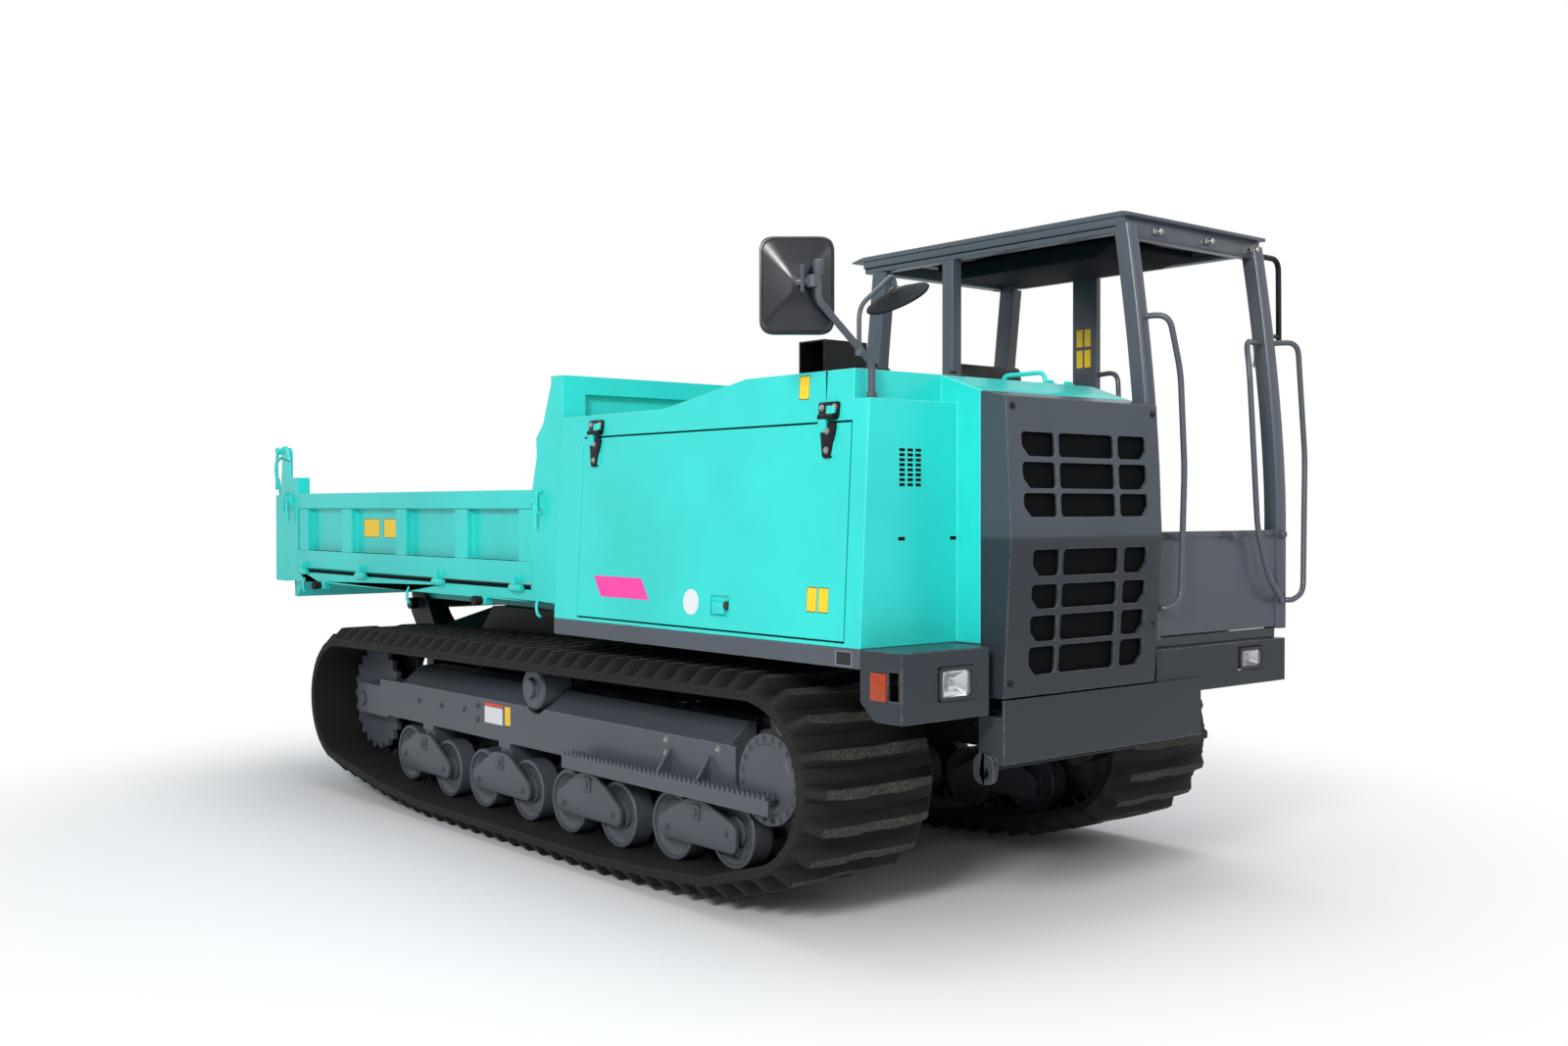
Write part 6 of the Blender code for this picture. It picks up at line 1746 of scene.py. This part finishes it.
@dataclass
class Bed:
    """Tipping bed with its gates, tailgate and cylinder."""

    model: Model
    repeat: Repeat
    half: float = 1.03
    gate_axis: Flat = (1.045, 1.086)
    hinges: tuple[float, ...] = (-2.06, -1.36, -0.55, 0.14)

    def build_sheets(self) -> None:
        """Bed, gates and tailgate with rounded folds."""
        self.model.softened("bed_body", 0.003, GREEN, body=Body.BED)
        self.model.softened("side_gate_right", 0.004, GREEN, body=Body.GATE_RIGHT)
        self.model.softened("side_gate_left", 0.004, GREEN, body=Body.GATE_LEFT)
        self.model.softened("tailgate", 0.004, GREEN, body=Body.TAILGATE,
                            lowered=Lowered((-2.4705, -2.30), (1.30, 1.5785), 0.68))

    def build_films(self) -> None:
        """Blank films on the right gate."""
        y = -self.half + 0.05 - 0.012
        for index, x in enumerate((-1.434, -1.214), start=1):
            film(f"gate_film_{index}", upright((x, x + 0.175), y, (1.275, 1.366)), -1, YELLOW, 0.05,
                 body=Body.GATE_RIGHT, slot=Slot.GREEN)

    def build_hinges(self) -> None:
        """Sleeves and nuts of the gates' hinges, on the gates' own axes, and a dark strip of
        painted shade in the gap behind.
        """
        for side, gate in ((Side.RIGHT, Body.GATE_RIGHT), (Side.LEFT, Body.GATE_LEFT)):
            axis = (side.sign * self.gate_axis[0], self.gate_axis[1])
            fixed, moving = Form(), Form()
            for x in self.hinges:
                fixed.lathe([(0.0165, x + KNUCKLE_GAP), (0.0165, x + 0.030), (0.0135, x + 0.031),
                             (0.0135, x + 0.043), (0.0115, x + 0.045)], axis, Axis.X, 20)
                moving.lathe([(0.0115, x - 0.042), (0.0165, x - 0.040), (0.0165, x - KNUCKLE_GAP)],
                             axis, Axis.X, 20)
            fixed.piece(f"bed_hinge_sleeves_{side.label}", GREEN, body=Body.BED)
            moving.piece(f"gate_hinge_sleeves_{side.label}", GREEN, body=gate)
            # Painted shade: a dark strip on the rail's face in the gap under the gate.
            y = side.sign * (self.half + 0.0006)
            gap = Form().box((-2.16, 0.235), (y - 0.001, y), (1.0815, 1.0995))
            gap.piece(f"bed_hinge_gap_{side.label}", PAINTED_SHADE, body=Body.BED)

    def build_fittings(self) -> None:
        """Rope hooks, rubber rests and latches with their levers."""
        for side in Side:
            s = side.sign
            hooks = Form()
            for x in (-2.06, -0.86, 0.306):
                y = s * (self.half + 0.012)
                hooks.tube([(x - 0.015, s * (self.half - 0.012), 1.06), (x - 0.012, y, 1.025),
                            (x - 0.002, y, 0.985), (x + 0.022, y, 0.975)], 0.0068, 0.02)
            hooks.piece(f"rope_hooks_{side.label}", GREEN, body=Body.BED)
            rests = Form()
            profile = [(0.0165, 0.0405), (0.0190, 0.0425), (0.0190, 0.060), (0.0215, 0.064),
                       (0.0215, 0.078), (0.0175, 0.082)]
            for x in (-1.85, -0.165):
                rests.lathe([(r, s * (self.half - 0.030 + a)) for r, a in profile], (x, 1.020),
                            count=24)
            rests.piece(f"gate_rests_{side.label}", RUBBER, body=Body.BED, crease=40.0)
            latches = Form()
            for x, z, way in ((-2.265, 1.46, 1), (0.30, 1.45, -1)):
                y = s * (self.half + 0.022)
                latches.tube([(x, s * (self.half + 0.006), z), (x, y, z), (x + 0.012, y, z - 0.11)],
                             0.0068, 0.01)
                keeper, sheet, far = x - 0.026 * way, s * (self.half + 0.004), y + s * 0.006
                latches.tube([(keeper, sheet, z + 0.036), (keeper, far, z + 0.036),
                              (keeper, far, z - 0.050), (keeper, sheet, z - 0.050)], 0.006, 0.012)
                latches.lathe([(0.015, sheet), (0.015, s * (self.half + 0.028)),
                               (0.011, s * (self.half + 0.031))], (x, z), count=20)
            latches.piece(f"post_latches_{side.label}", GREEN, body=Body.BED)

    def build_lever(self) -> None:
        """Long hand lever at the tailgate's right end."""
        lever = Form().tube([(-2.43, -1.0, 1.735), (-2.50, -1.0, 1.738), (-2.5233, -1.0, 1.69),
                             (-2.5233, -1.0, 1.52)], 0.0085, 0.03)
        lever.lathe([(0.020, -1.045), (0.020, -0.978)], (-2.415, 1.728), count=20)
        lever.piece("tailgate_lever", GREEN, body=Body.TAILGATE)

    def build_cylinder(self) -> None:
        """Finishes of the tipping cylinder."""
        self.model.paint(DARK, "cylinder_barrel")
        self.model.paint(CHROME, "cylinder_rod")

    def build(self) -> None:
        """Make the bed."""
        self.build_sheets()
        self.build_films()
        self.build_hinges()
        self.build_fittings()
        self.build_lever()
        self.build_cylinder()


# Studio

@dataclass
class Studio:
    """Floor, lamps, world and camera.

    Attributes:
        eye: the camera's place.
        look: its direction.
        lens: its focal length in mm.
        sensor: width of its sensor in mm.
        clean: distances between which the floor turns plain white.
        target: point that the lamps aim at.
        reach: half the floor's width.
    """

    eye: Spot = (5.754, -4.31, 1.42)
    look: Spot = (-0.765, 0.644, -0.0099)
    lens: float = 35.2
    sensor: float = 36.0
    clean: Span = (2.0, 4.2)
    target: Spot = (0.3, 0.0, 0.9)
    reach: float = 30.0

    def build(self) -> None:
        """Make the studio."""
        self.build_floor()
        self.build_lamps()
        self.build_world()
        self.build_camera()

    def build_floor(self) -> None:
        """White floor that keeps the object's shadow."""
        mesh = bpy.data.meshes.new("floor")
        corners = rectangle((-self.reach, self.reach), (-self.reach, self.reach))
        mesh.from_pydata([(*corner, 0.0) for corner in corners], [], [(0, 1, 2, 3)])
        floor = bpy.data.objects.new("floor", mesh)
        bpy.context.scene.collection.objects.link(floor)
        graph = Graph("white floor")
        cloud = graph.noise(0.8)
        graph.set(Base_Color=graph.mix(cloud * 0.1, (0.86, 0.86, 0.86), (0.80, 0.80, 0.80)),
                  Roughness=0.9)
        reach = graph.node("VectorMath", {0: graph.place}, operation="LENGTH")
        far = graph.band(Value(graph, reach.outputs["Value"]), *self.clean)
        white = graph.node("Emission", {"Color": (1, 1, 1, 1)})
        ray = graph.node("LightPath")
        share = far * Value(graph, ray.outputs["Is Camera Ray"])
        both = graph.node("MixShader", {0: share, 1: graph.shader.outputs[0],
                                        2: white.outputs[0]})
        graph.feed(graph.tree.nodes["Material Output"].inputs["Surface"], both.outputs[0])
        mesh.materials.append(graph.material)

    def build_lamps(self) -> None:
        """Large soft lamps that aim at the machine's middle."""
        for name, place, size, power in (("key", (6.0, -8.0, 5.0), 2.0, 590.0),
                                         ("front", (8.5, -0.5, 5.5), 4.0, 120.0),
                                         ("top", (0.0, 1.0, 9.0), 6.0, 300.0)):
            lamp = bpy.data.lights.new(name, "AREA")
            lamp.energy = power
            lamp.size = size
            made = bpy.data.objects.new(name, lamp)
            made.location = place
            way = Vector(self.target) - Vector(place)
            made.rotation_euler = way.to_track_quat("-Z", "Y").to_euler()
            bpy.context.scene.collection.objects.link(made)

    def build_world(self) -> None:
        """Pale world that looks white to the camera, in mirrors and through glass."""
        world = bpy.data.worlds.new("pale world")
        world.use_nodes = True
        tree = world.node_tree
        back = tree.nodes["Background"]
        back.inputs["Color"].default_value = (0.9, 0.93, 1.0, 1)
        back.inputs["Strength"].default_value = 0.45
        white = tree.nodes.new("ShaderNodeBackground")
        white.inputs["Color"].default_value = (1, 1, 1, 1)
        path = tree.nodes.new("ShaderNodeLightPath")
        choose = tree.nodes.new("ShaderNodeMixShader")
        seen = path.outputs["Is Camera Ray"]
        for ray in ("Is Glossy Ray", "Is Transmission Ray"):
            either = tree.nodes.new("ShaderNodeMath")
            either.operation = "MAXIMUM"
            tree.links.new(seen, either.inputs[0])
            tree.links.new(path.outputs[ray], either.inputs[1])
            seen = either.outputs[0]
        tree.links.new(seen, choose.inputs[0])
        tree.links.new(back.outputs[0], choose.inputs[1])
        tree.links.new(white.outputs[0], choose.inputs[2])
        tree.links.new(choose.outputs[0], tree.nodes["World Output"].inputs[0])
        bpy.context.scene.world = world

    def build_camera(self) -> None:
        """Camera at the photograph's viewing angle."""
        data = bpy.data.cameras.new("camera")
        data.lens = self.lens
        data.sensor_width = self.sensor
        camera = bpy.data.objects.new("camera", data)
        camera.location = self.eye
        camera.rotation_euler = Vector(self.look).to_track_quat("-Z", "Y").to_euler()
        bpy.context.scene.collection.objects.link(camera)
        bpy.context.scene.camera = camera


def main() -> None:
    """Build everything in order."""
    logging.basicConfig(level=logging.INFO, format="%(message)s")
    for item in list(bpy.data.objects):
        bpy.data.objects.remove(item)
    bpy.context.scene.view_settings.view_transform = "Standard"
    model = Model()
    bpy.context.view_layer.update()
    repeat = Repeat()
    for side in Side:
        Undercarriage(side, repeat, model).build()
    Hood(model, repeat).build()
    Front(model, repeat).build()
    OperatorPlace(model, repeat).build()
    Bed(model, repeat).build()
    model.paint(SCREEN, "engine_block")
    Studio().build()


if __name__ == "__main__":
    main()
